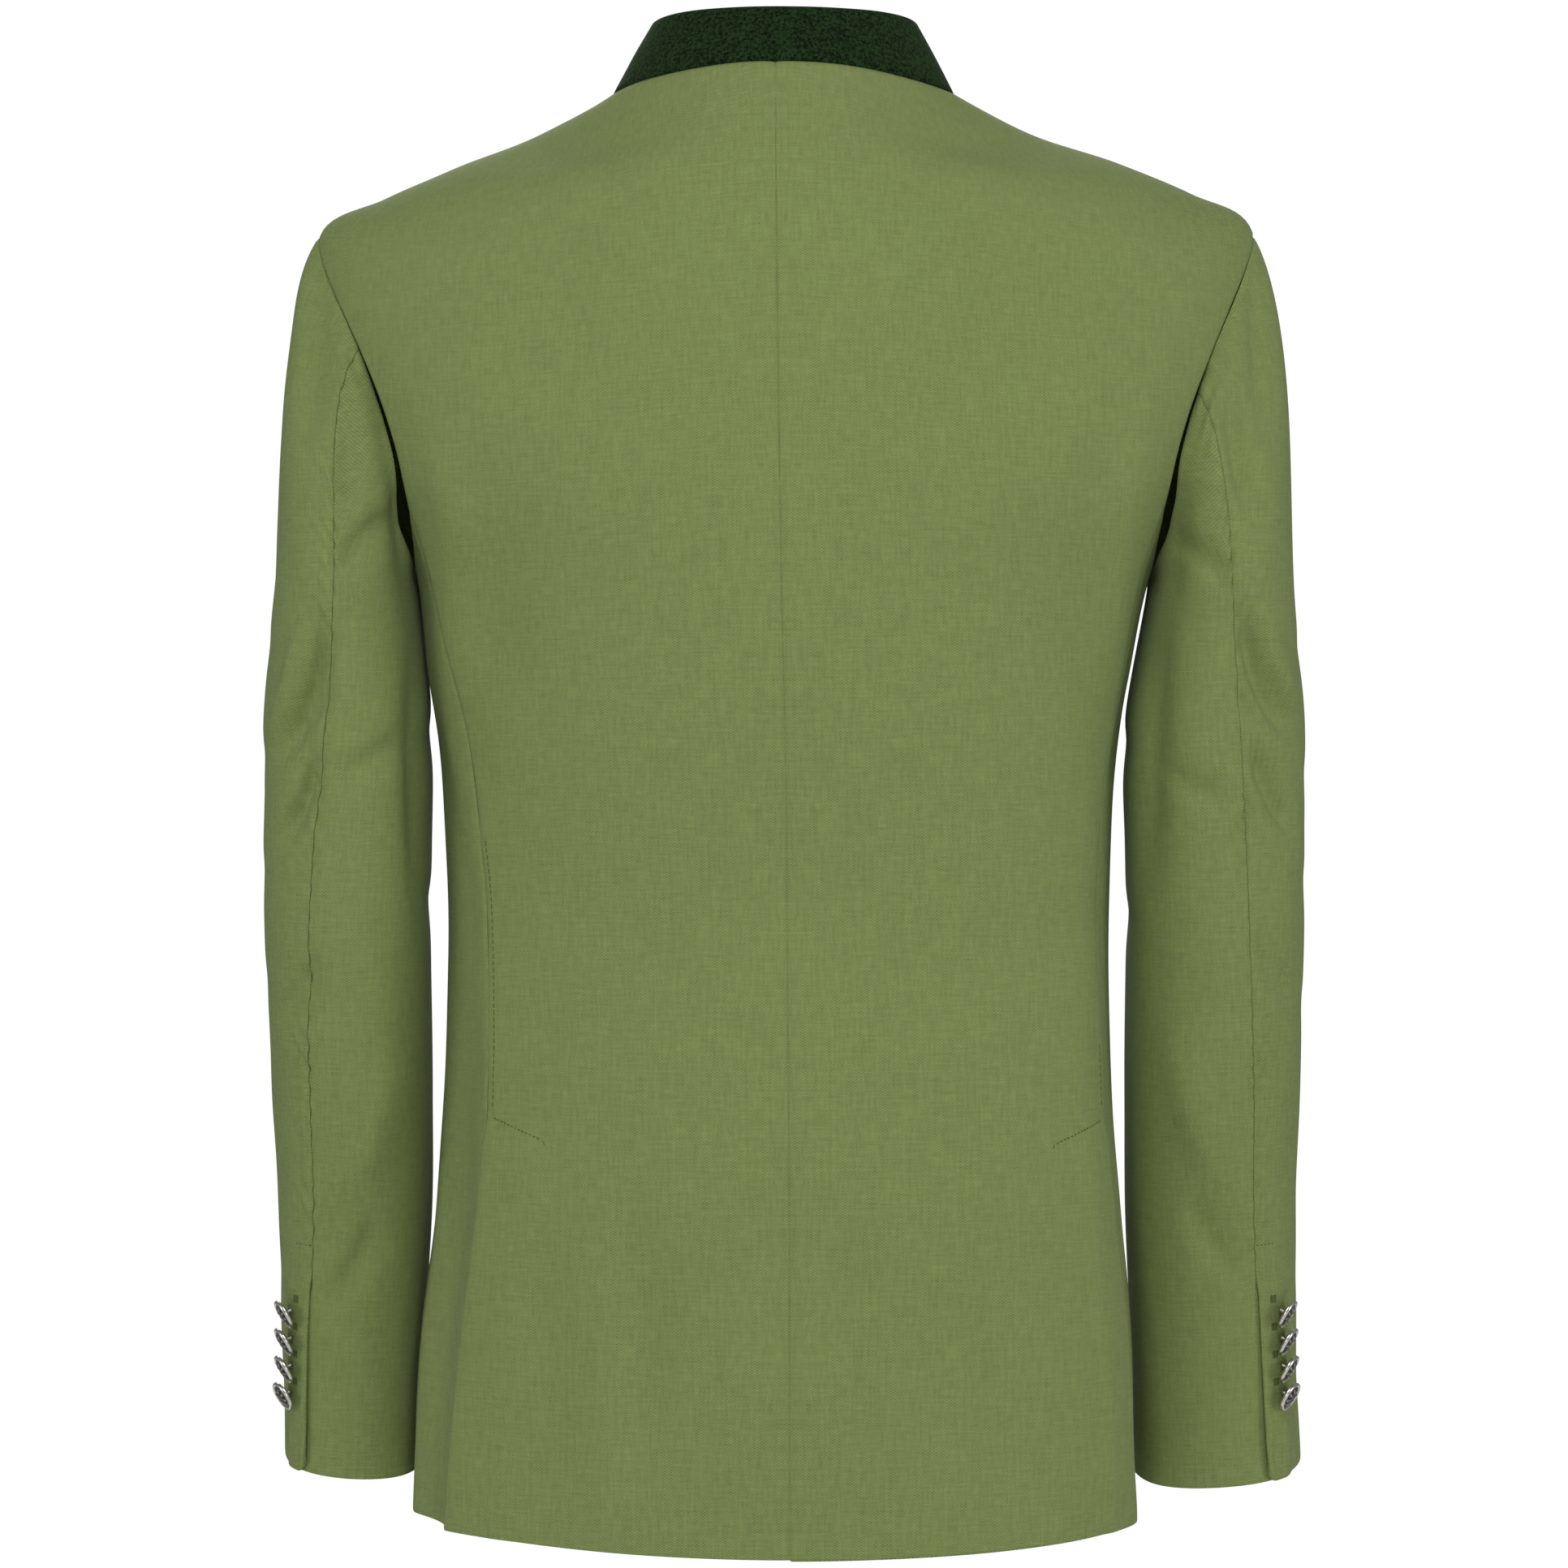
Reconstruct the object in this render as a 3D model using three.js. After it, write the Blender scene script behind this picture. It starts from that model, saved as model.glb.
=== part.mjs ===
// A linen trachten jacket with a felt stand collar, in the hollow shape that it has when it is worn.
// Millimetres, +Z up. The front faces -Y and the wearer's left is +X. The origin is the middle of the neck
// opening, level with the two points where the shoulder seams meet the collar.
// Every piece of cloth is a closed wall: an outer surface worked out from the section tables below, and the
// same surface moved in by the cloth's thickness. Left and right differ a little, as on a jacket that hangs.

import * as THREE from "three";

// Driving sizes
const CLOTH = 1.6; // linen with its interlining
const FELT = 2.8; // the collar's two layers of felt
const SEAM_GAP = 0.3; // between two pieces that are sewn together
const LAP = CLOTH + 0.6; // how far an overlapping edge stands off the piece below it
const BUTTON_WRAP = 18; // each front reaches this far past the centre front line
const CUFF_BUTTON = { radius: 8, count: 4, pitch: 14.3, first: -612, fromSeam: 10.4 };
const CUFF_BUTTON_FACING = { out: 0.8, back: 0.3, up: -0.5, lowestBack: 0.42 }; // each tips over the next
const FRONT_BUTTON = { radius: 10, count: 5, pitch: 92, first: -62 };
const COLOURS = { linen: 0x7a8a4a, felt: 0x1d3a16, silver: 0x8d8a86 };

// The body's sections, neck to hem, at whole numbers of v. Each is a ring through four points: centre back,
// wearer's left side, centre front and wearer's right side.
//   zBack, zLeft, zRight, zFront   height of the ring at those points
//   left, right                    how far the ring reaches to each side
//   seam                           where the centre back seam runs, sideways
//   yBack, ySide, yFront           depth of the ring at the back, the sides and the front
//   fullLeft, fullRight            0 for an ellipse at the back, more for a fuller corner, less for a flat one
//   fullFront                      the same for both corners at the front
//   roll                           1 where the ring rises evenly from its sides, more where it stays low
//   dip                            how far the ring sinks between its sides and the centre back
//   sewnLeft, sewnRight            angle round the body of the seam between back and side panel
const BODY_COLUMNS =
  "zBack zLeft zRight zFront left right seam yBack ySide yFront " +
  "fullLeft fullRight fullFront roll dip sewnLeft sewnRight";
const BODY = table(BODY_COLUMNS, [
  [12, 0, 0, -34, 86.8, 86.5, 4.3, 62, 0, -76, 0.05, 0.05, 0.1, 0.7, 1.5, 90, 90],
  [-12, -20, -19, -66, 126, 127, 4.2, 78, -1, -96, 0.03, 0.03, 0.06, 0.7, 15, 90, 90],
  [-43, -35.5, -33, -100, 167, 169.5, 4.0, 94, -2, -112, 0.0, 0.0, 0.0, 0.7, 8, 90, 90],
  [-80, -50.2, -47.8, -138, 201.3, 205.8, 3.6, 106, -2, -124, -0.06, -0.06, -0.07, 0.7, 4, 90, 90],
  [-122, -69, -67.2, -176, 234.5, 236.5, 3.2, 113, -2, -132, -0.13, -0.13, -0.13, 0.7, 2, 90, 90],
  [-166, -125, -125, -212, 229, 232, 2.6, 116, -2, -136, -0.02, -0.02, -0.05, 0.7, 0, 84, 85],
  [-207, -183, -183, -242, 207, 210, 2.0, 116, -3, -137, 0.08, 0.1, 0.04, 0.7, 0, 76, 79],
  [-249, -238, -238, -272, 184.5, 184, 1.3, 112, -4, -136, 0.13, 0.17, 0.09, 0.7, 0, 69, 75],
  [-296, -292, -292, -310, 178.8, 173.5, 0.2, 106, -4, -133, 0.14, 0.22, 0.12, 0.7, 0, 62.5, 72],
  [-348, -346, -346, -356, 172.6, 166.5, -0.8, 99, -4, -129, 0.12, 0.24, 0.12, 0.7, 0, 59.8, 70],
  [-402, -401, -401, -406, 170, 164.2, -1.4, 94, -3, -125, 0.1, 0.25, 0.12, 0.7, 0, 58.3, 68.5],
  [-456, -456, -456, -458, 170, 164.2, -1.8, 95, -2, -123, 0.1, 0.25, 0.12, 0.7, 0, 57.3, 68],
  [-511, -511, -511, -512, 172, 166, -2.2, 101, -1, -123, 0.1, 0.25, 0.12, 0.7, 0, 56.5, 68],
  [-566, -566, -566, -566, 175.8, 170, -2.5, 108, 0, -124, 0.1, 0.25, 0.12, 0.7, 0, 57, 69],
  [-620, -618, -619, -620, 182, 174, -2.6, 112, 0, -126, 0.1, 0.24, 0.12, 0.7, 0, 57.8, 71],
  [-672, -667, -668, -672, 185.5, 176, -2.7, 115, 0, -128, 0.1, 0.22, 0.12, 0.7, -1, 58.7, 73],
  [-722.5, -712, -713, -722, 187.2, 176.5, -2.7, 117, 0, -129, 0.1, 0.2, 0.12, 0.7, -2, 59.5, 75],
]);
const HEM = BODY.length - 1;
const SHOULDER_TIP = 4; // the section through the ends of the shoulder seams
const UNDERARM = 7; // the section through the bottoms of the armholes
const VENT_TOP = 12; // the side vents open below this section
const SIDE_TOP = 6.4; // where the seams beside the side panel meet the armhole
const FRONT_SEWN = 127; // angle round the body of the seam between side panel and front
const ARMHOLE = { back: 26.5, front: 33 }; // half-widths of the armhole, as angles round the body
const ARMHOLE_TOP = 1.6; // 1 for an armhole as round above as below, more where it narrows upwards

// The sleeve's rings, upper arm to cuff.
//   z, y, depth      height and depth of the ring's middle, and half its depth
//   outer, inner     how far from the body's middle plane the ring's two sides lie
//   backSeam, frontSeam   angles of the sleeve's two seams round the ring, from the back, through the outside
//   tilt, roll       degrees by which the back of the ring is lower, and its outer side higher
const SLEEVE_COLUMNS = "z y depth outer inner backSeam frontSeam tilt roll";
const SLEEVES = {
  left: table(SLEEVE_COLUMNS, [
    [-252, -4, 65, 257.8, 184, 3.5, 200, 2, 0],
    [-315, -6, 62, 262.5, 178, 9.5, 203, 2, 0],
    [-378, -9, 59, 263.3, 178.3, 17, 206, 3, 0],
    [-440, -13, 57, 262.4, 179.3, 22, 208, 3, 1],
    [-500, -20, 55, 260, 178.8, 24, 210, 3, 2],
    [-560, -30, 53.5, 257.7, 179.5, 25, 212, 4, 3],
    [-625, -41, 52.5, 256.8, 183, 29.5, 214, 5, 3.5],
    [-689.5, -52, 52, 256, 184.5, 32, 215, 8.5, 4],
  ]),
  right: table(SLEEVE_COLUMNS, [
    [-252, -4, 64, 258, 183, 3, 200, 2, 0],
    [-315, -6, 60, 262.5, 172.5, 10.5, 203, 2, 0],
    [-378, -9, 56.5, 263.5, 173, 14, 206, 3, 0],
    [-440, -13, 54, 262.8, 173.5, 18, 208, 3, 1],
    [-500, -20, 52, 262, 173.4, 21.5, 210, 3, 2],
    [-560, -30, 50.5, 261, 174, 23.5, 212, 4, 3],
    [-628, -41, 50, 262, 177.5, 26.5, 214, 5, 3.5],
    [-694, -52, 50, 265, 179, 28, 215, 8.5, 4],
  ]),
};
const SLEEVE_SQUARE = 0.1; // 0 for oval rings, more for squarer ones

// The top edge of the stand collar, with the same columns as a body section.
const COLLAR_TOP = table(BODY_COLUMNS, [
  [41.2, 37.5, 37.5, 2, 66.2, 66.9, 2.5, 44, -4, -67, 0.06, 0.06, 0.1, 0.35, 0, 90, 90],
])[0];
const COLLAR_END = 178; // angle at which each end of the collar stops, short of the centre front
const COLLAR_CORNER = { wide: 12, low: 0.45 }; // degrees over which an end rounds off, and the height it loses
const COLLAR_BOW = 0.3; // how far the band stands out at mid height

// Soft folds in the body's cloth, each a ridge (or, below 0, a trough) on the back or the front.
//   x, z       its middle        slant   degrees that its top leans to the wearer's left
//   long, wide half its length and half its width        height  how far it stands out
const FOLD_COLUMNS = "x z slant long wide height";
const BACK_FOLDS = table(FOLD_COLUMNS, [
  [172, -235, -13, 80, 22, 2.2],
  [-176, -230, 13, 80, 22, 2.2],
  [60, -420, 70, 90, 24, 1.2],
  [-70, -400, -72, 90, 24, 1.2],
  [95, -660, 8, 70, 26, 1.8],
  [-100, -655, -6, 70, 26, 1.8],
]);

// Rows of named values from a list of names and rows of numbers.
function table(columns, rows) {
  const names = columns.split(" ");
  return rows.map((row) => Object.fromEntries(names.map((name, i) => [name, row[i]])));
}

// The table's values at a place between its rows, on a smooth curve through them.
function along(rows, place) {
  const at = THREE.MathUtils.clamp(place, 0, rows.length - 1);
  const i = Math.min(Math.floor(at), rows.length - 2);
  const t = at - i;
  const row = (k) => rows[THREE.MathUtils.clamp(k, 0, rows.length - 1)];
  const mixed = {};
  for (const name of Object.keys(rows[0])) {
    const [a, b, c, d] = [row(i - 1)[name], row(i)[name], row(i + 1)[name], row(i + 2)[name]];
    mixed[name] = b + 0.5 * t * (c - a + t * (2 * a - 5 * b + 4 * c - d + t * (3 * (b - c) + d - a)));
  }
  return mixed;
}

const radians = THREE.MathUtils.degToRad;
const smooth = (value, from, to) => THREE.MathUtils.smoothstep(value, from, to);
const lerp = THREE.MathUtils.lerp;
const steps = (count, from, to) => Array.from({ length: count + 1 }, (_, i) => lerp(from, to, i / count));

// A point of a ring. The angle is 0 at the centre back, 90 at the wearer's left, 180 at the centre front.
function ringPoint(ring, angle) {
  const s = Math.sin(radians(angle));
  const c = Math.cos(radians(angle));
  const onLeft = s >= 0;
  const atBack = c >= 0;
  const middle = atBack ? ring.seam : 0;
  const side = onLeft ? ring.left : -ring.right;
  const full = atBack ? (onLeft ? ring.fullLeft : ring.fullRight) : ring.fullFront;
  const zSide = onLeft ? ring.zLeft : ring.zRight;
  const dip = atBack ? ring.dip * (2 * s * c) ** 2 : 0;
  return new THREE.Vector3(
    middle + (side - middle) * Math.abs(s) * (1 + full * c * c),
    ring.ySide + ((atBack ? ring.yBack : ring.yFront) - ring.ySide) * Math.abs(c) * (1 + full * s * s),
    zSide + ((atBack ? ring.zBack : ring.zFront) - zSide) * Math.abs(c) ** (2 * ring.roll) - dip,
  );
}

const bodyPoint = (angle, v) => ringPoint(along(BODY, v), angle);

// The outward normal of the body's surface, from points a little to each side.
function bodyNormal(angle, v) {
  const across = bodyPoint(angle + 0.5, v).sub(bodyPoint(angle - 0.5, v));
  const low = Math.min(v + 0.02, HEM);
  const down = bodyPoint(angle, low).sub(bodyPoint(angle, Math.max(low - 0.04, 0)));
  return across.cross(down).normalize();
}

// How far the folds raise the back at a point.
function foldHeight(folds, point) {
  let height = 0;
  for (const fold of folds) {
    const lean = radians(fold.slant);
    const dx = point.x - fold.x;
    const dz = point.z - fold.z;
    const alongFold = (dx * Math.sin(lean) + dz * Math.cos(lean)) / fold.long;
    const acrossFold = (dx * Math.cos(lean) - dz * Math.sin(lean)) / fold.wide;
    height += fold.height * Math.exp(-(alongFold ** 2) - acrossFold ** 2);
  }
  return height;
}

// One place on the body's cloth: its outer point and the normal there. lift moves it off the body's surface.
function clothAt(angle, v, lift = 0) {
  const point = bodyPoint(angle, v);
  const normal = bodyNormal(angle, v);
  const raised = Math.cos(radians(angle)) > 0 ? foldHeight(BACK_FOLDS, point) : 0;
  return { point: point.addScaledVector(normal, raised + lift), normal };
}

// A closed wall of cloth from a grid of places, rows by columns. Cells that aren't active are left out.
function wall(grid, thickness, active = () => true) {
  const columns = grid[0].length;
  const positions = [];
  for (const depth of [0, thickness])
    for (const row of grid)
      for (const { point, normal } of row) positions.push(...point.clone().addScaledVector(normal, -depth));
  const inner = grid.length * columns;
  const at = (r, c) => r * columns + c;
  const isCell = (r, c) => r >= 0 && c >= 0 && r < grid.length - 1 && c < columns - 1 && active(r, c);
  const faces = [];
  const quad = (a, b, c, d) => faces.push(a, b, c, a, c, d);
  for (let r = 0; r < grid.length - 1; r++)
    for (let c = 0; c < columns - 1; c++) {
      if (!isCell(r, c)) continue;
      const [a, b, d, e] = [at(r, c), at(r + 1, c), at(r + 1, c + 1), at(r, c + 1)];
      quad(a, b, d, e);
      quad(inner + a, inner + e, inner + d, inner + b);
      const rim = (p, q) => quad(p, inner + p, inner + q, q);
      if (!isCell(r, c - 1)) rim(a, b);
      if (!isCell(r + 1, c)) rim(b, d);
      if (!isCell(r, c + 1)) rim(d, e);
      if (!isCell(r - 1, c)) rim(e, a);
    }
  if (facesIn(positions, faces)) faces.reverse();
  return closedGeometry(positions, faces);
}

// True if the closed surface's volume comes out below 0.
function facesIn(positions, faces) {
  const vertex = (i) => new THREE.Vector3().fromArray(positions, 3 * faces[i]);
  let volume = 0;
  for (let i = 0; i < faces.length; i += 3) volume += vertex(i).dot(vertex(i + 1).cross(vertex(i + 2)));
  return volume < 0;
}

// A geometry that holds only the points its faces use.
function closedGeometry(positions, faces) {
  const used = [...new Set(faces)].sort((a, b) => a - b);
  const renumbered = new Map(used.map((old, i) => [old, i]));
  const kept = used.flatMap((old) => positions.slice(3 * old, 3 * old + 3));
  const geometry = new THREE.BufferGeometry();
  geometry.setAttribute("position", new THREE.Float32BufferAttribute(kept, 3));
  geometry.setIndex(faces.map((old) => renumbered.get(old)));
  geometry.computeVertexNormals();
  return geometry;
}

// Draws the first or last column of a grid back by half a seam gap.
function trimColumn(grid, column, beside, by = SEAM_GAP / 2) {
  for (const row of grid) {
    const { point } = row[column];
    const inward = row[beside].point.clone().sub(point);
    if (inward.length() > by) point.addScaledVector(inward.normalize(), by);
  }
  return grid;
}

// Half the width of the armhole, as an angle, and its place v, from the shoulder tip (0) to the underarm (1).
const armholeV = (q) => SHOULDER_TIP + ((UNDERARM - SHOULDER_TIP) * (1 - Math.cos(Math.PI * q))) / 2;
const armholeHalf = (q, width) => width * Math.sin(Math.PI * q) ** (q < 0.5 ? ARMHOLE_TOP : 1);
const armholeQ = (v) => Math.acos(1 - (2 * (v - SHOULDER_TIP)) / (UNDERARM - SHOULDER_TIP)) / Math.PI;

// The rows that every body panel shares: over the shoulder, down the armhole, then on to the hem.
const SIDE_TOP_Q = armholeQ(SIDE_TOP);
const SHOULDER_ROWS = [0, 0.8, 1.6, 2.4, 3.2];
const ARMHOLE_QS = steps(10, 0, 1).map((share) => SIDE_TOP_Q * share ** 1.3);
const SIDE_PANEL_TOP_ROWS = 3;
const BELOW_UNDERARM = UNDERARM + 0.25;
const BESIDE_ARMHOLE_ROWS = steps(SIDE_PANEL_TOP_ROWS, SIDE_TOP, BELOW_UNDERARM).slice(1);
const VENT_START = VENT_TOP + 0.3;
const LOWER_ROWS = [7.9, 8.6, 9.3, 10, 10.7, 11.4, VENT_TOP, VENT_START, 12.9, 13.6, 14.3, 15, 15.6, HEM];
const PANEL_ROWS = [...SHOULDER_ROWS, ...ARMHOLE_QS.map(armholeV), ...BESIDE_ARMHOLE_ROWS, ...LOWER_ROWS];

const sewnAt = (side, v) => along(BODY, v)[side > 0 ? "sewnLeft" : "sewnRight"];

// The angle at which the back panel ends in a row: at the shoulder seam, the armhole or the side panel.
function backEdge(side, v) {
  if (v <= SHOULDER_TIP) return 90;
  if (v <= SIDE_TOP) return 90 - armholeHalf(armholeQ(v), ARMHOLE.back);
  const joint = 90 - armholeHalf(SIDE_TOP_Q, ARMHOLE.back);
  const settle = smooth(v, SIDE_TOP, UNDERARM + 1);
  return lerp(joint, sewnAt(side, v), settle);
}

// The angle at which the front panel ends in a row, on its side away from the centre front.
function frontEdge(v) {
  if (v <= SHOULDER_TIP) return 90;
  if (v <= SIDE_TOP) return 90 + armholeHalf(armholeQ(v), ARMHOLE.front);
  const joint = 90 + armholeHalf(SIDE_TOP_Q, ARMHOLE.front);
  return lerp(joint, FRONT_SEWN, smooth(v, SIDE_TOP, UNDERARM + 1));
}

// How far a column lies from the panel's middle edge, as an angle. whole is the panel's width where no armhole
// cuts into it and actual its width in this row. Only the columns near the armhole are pushed together.
const CROWDING = 1.4;
function columnAngle(share, whole, actual, v) {
  const crowding = 1 + CROWDING * (1 - smooth(v, UNDERARM - 2, UNDERARM + 0.5));
  return whole * share - (whole - actual) * share ** crowding;
}

// Back panel: below the vent's top its edge stands off the side panel that it laps over.
const VENT_LAP = { from: 19, full: 12, flare: 2 }; // degrees inside the edge where the lap starts and is full
function backPanel(side) {
  const columns = 11;
  const grid = PANEL_ROWS.map((v) => {
    const edge = backEdge(side, v);
    return steps(columns, 0, 1).map((share) => {
      const angle = columnAngle(share, 90, edge, v);
      const full = edge - VENT_LAP.full;
      const overVent = LAP * smooth(v, VENT_TOP, VENT_START) * smooth(angle, edge - VENT_LAP.from, full);
      const flare = VENT_LAP.flare * smooth(v, VENT_TOP, HEM) * smooth(angle, full, edge);
      return clothAt(side * angle, v, overVent + flare);
    });
  });
  trimColumn(grid, 0, 1);
  trimColumn(grid, columns, columns - 1);
  return wall(grid, CLOTH);
}

// The lower part of the armhole's edge, which the side panel makes. share runs from back to front.
const SIDE_COLUMNS = 8;
function underarmPlace(share) {
  const [atBack, atFront] = [ARMHOLE.back, ARMHOLE.front].map((width) => armholeHalf(SIDE_TOP_Q, width));
  const half = lerp(atBack, atFront, share);
  const opening = 1 - 2 * share;
  const q = 1 - Math.asin(Math.sin(Math.PI * SIDE_TOP_Q) * Math.abs(opening)) / Math.PI;
  return { angle: 90 - half * opening, v: armholeV(q) };
}

const spread = (side, v, share) => lerp(backEdge(side, v), frontEdge(v), share);

// Side panel: from the armhole's bottom to the hem, with an underlap behind the vent.
const UNDERLAP_ANGLE = 11;
// Towards the vent the panel is flatter than the body's ring, from the back seam to just short of its widest place.
const SIDE_FLAT = { depth: 6, span: 27, end: 84, from: 9.5, full: 12 }; // span and end in degrees, then sections
function sideFlatness(side, angle, v) {
  const edge = backEdge(side, v);
  const span = SIDE_FLAT.end - edge;
  const across = Math.min(Math.max((angle - edge) / span, 0), 1);
  const depth = SIDE_FLAT.depth * (span / SIDE_FLAT.span) ** 2 * smooth(v, SIDE_FLAT.from, SIDE_FLAT.full);
  return depth * Math.sin(Math.PI * across);
}

function sidePanel(side) {
  const lapSteps = 2;
  const underArmhole = (part) =>
    steps(SIDE_COLUMNS, 0, 1).map((share) => {
      const top = underarmPlace(share);
      const v = lerp(top.v, BELOW_UNDERARM, part);
      const settled = part ** (4 * share * (1 - share));
      return { v, angle: lerp(top.angle, spread(side, v, share), settled) };
    });
  const acrossRow = (v) => steps(SIDE_COLUMNS, 0, 1).map((share) => ({ v, angle: spread(side, v, share) }));
  const rows = [...steps(SIDE_PANEL_TOP_ROWS, 0, 1).map(underArmhole), ...LOWER_ROWS.map(acrossRow)];
  const grid = rows.map((row) => {
    const [first] = row;
    const lap = steps(lapSteps, first.angle - UNDERLAP_ANGLE, first.angle).slice(0, -1);
    const places = [...lap.map((angle) => ({ v: first.v, angle })), ...row];
    return places.map(({ angle, v }) => clothAt(side * angle, v, -sideFlatness(side, angle, v)));
  });
  trimColumn(grid, lapSteps, lapSteps + 1);
  trimColumn(grid, grid[0].length - 1, grid[0].length - 2);
  const ventRow = SIDE_PANEL_TOP_ROWS + 1 + LOWER_ROWS.indexOf(VENT_START);
  return wall(grid, CLOTH, (r, c) => c >= lapSteps || r >= ventRow);
}

// Front: the left one laps over the right one at the centre front, and both have a rounded lower corner.
// The lap's places are counted in button wraps short of the centre front.
const FRONT_LAP = { from: 2.2, full: 1.2 };
const FRONT_CORNER = { rise: 0.55, tall: 1.2, wide: 6 }; // rise and tall in body sections, wide in degrees
function frontPanel(side) {
  const columns = 7;
  const grid = PANEL_ROWS.map((v) => {
    const reach = BUTTON_WRAP / (along(BODY, v).left * radians(1));
    const flat = 180 - FRONT_LAP.from * reach;
    const actual = flat - frontEdge(v);
    const beside = steps(columns, 1, 0).map((share) => flat - columnAngle(share, flat - 90, actual, v));
    const across = [...beside, 180 - FRONT_LAP.full * reach, 180, 180 + reach];
    return across.map((angle, k) => {
      const roundOff = smooth(angle, 180 - FRONT_CORNER.wide, 180 + reach) ** 2;
      const corner = FRONT_CORNER.rise * smooth(v, HEM - FRONT_CORNER.tall, HEM) * roundOff;
      const under = side < 0 && k > columns ? -LAP : 0;
      return clothAt(side * angle, v - corner, under);
    });
  });
  trimColumn(grid, 0, 1);
  return wall(grid, CLOTH);
}

// Stand collar: one band of felt from end to end, standing on the neck seam.
function collar() {
  const columns = 36;
  const levels = [0, 0.3, 0.6, 0.85, 1];
  const neck = BODY[0];
  const grid = levels.map((level) =>
    steps(columns, -COLLAR_END, COLLAR_END).map((angle) => {
      const foot = ringPoint(neck, angle);
      const head = ringPoint(COLLAR_TOP, angle);
      const rise = head.clone().sub(foot);
      const beside = ringPoint(neck, angle + 0.5).sub(ringPoint(neck, angle - 0.5));
      const normal = beside.cross(rise).normalize();
      if (normal.dot(foot.clone().setZ(0)) < 0) normal.negate();
      const corner = smooth(Math.abs(angle), COLLAR_END - COLLAR_CORNER.wide, COLLAR_END + 1);
      const rounded = Math.sqrt(1 - corner ** 2);
      const start = (3 * SEAM_GAP) / rise.length();
      const height = start + level * (1 - start) * lerp(1, rounded, COLLAR_CORNER.low);
      const bow = COLLAR_BOW * Math.sin(Math.PI * level);
      return { point: foot.addScaledVector(rise, height).addScaledVector(normal, bow + SEAM_GAP), normal };
    }),
  );
  return wall(grid, FELT);
}

// The armhole's edge as the sleeve meets it: the back panel's edge downwards from the shoulder tip, the side
// panel's top edge, then the front's edge upwards.
function armholeLoop(side) {
  const beside = (width) => ARMHOLE_QS.map((q) => ({ angle: 90 + armholeHalf(q, width), v: armholeV(q) }));
  const back = beside(-ARMHOLE.back);
  const under = steps(SIDE_COLUMNS, 0, 1).slice(1, -1).map(underarmPlace);
  const front = beside(ARMHOLE.front).slice(1).reverse();
  return [...back, ...under, ...front].map(({ angle, v }) => clothAt(side * angle, v));
}

// The point of a sleeve ring at an angle: 0 at the back, 90 at the outside, 180 at the front.
function sleeveRingPoint(side, ring, angle) {
  const s = Math.sin(radians(angle));
  const c = Math.cos(radians(angle));
  const middle = (ring.outer + ring.inner) / 2;
  const across = ((ring.outer - ring.inner) / 2) * s * (1 + SLEEVE_SQUARE * c * c);
  const back = ring.depth * c * (1 + SLEEVE_SQUARE * s * s);
  const tilt = radians(ring.tilt);
  const z = ring.z - back * Math.sin(tilt) + across * Math.sin(radians(ring.roll));
  return new THREE.Vector3(side * (middle + across), ring.y + back * Math.cos(tilt), z);
}

// How the sleeve leaves the armhole: out and down at the crown, mostly down at the underarm.
const CAP_OUT = { crown: 0.28, beside: 0.36, underarm: 0.3, back: 0.2 };
const CAP_DOWN = { crown: 0.38, beside: 0.55, underarm: 0.9 };
function capDirection(side, angle) {
  const s = Math.sin(radians(angle));
  const c = Math.cos(radians(angle));
  const crown = Math.max(s, 0);
  const underarm = Math.max(-s, 0);
  const mix = (share) => share.crown * crown + share.beside * Math.abs(c) + share.underarm * underarm;
  return new THREE.Vector3(side * mix(CAP_OUT), CAP_OUT.back * c, -mix(CAP_DOWN));
}

const CAP_ROWS = [0, 0.06, 0.16, 0.3, 0.48, 0.72];
const ARM_ROWS = [0, 0.45, 0.9, 1.4, 1.9, 2.4, 2.9, 3.4, 3.9, 4.4, 4.9, 5.3, 5.6, 6, 6.5, 7];
const VENT_ROW = CAP_ROWS.length + ARM_ROWS.indexOf(5.6);
const BACK_SEAM_COLUMN = { left: 6, right: 7 }; // of the armhole loop, where the sleeve's back seam starts
const FRONT_SEAM_FROM = 196; // the front seam starts at the loop's first column beyond this angle
const CAP_OFF = 1.2 * SEAM_GAP; // between the armhole's edge and the sleeve, inwards and outwards
const CAP_ARRIVE = 1.05; // how strongly the cap turns into the arm

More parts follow.
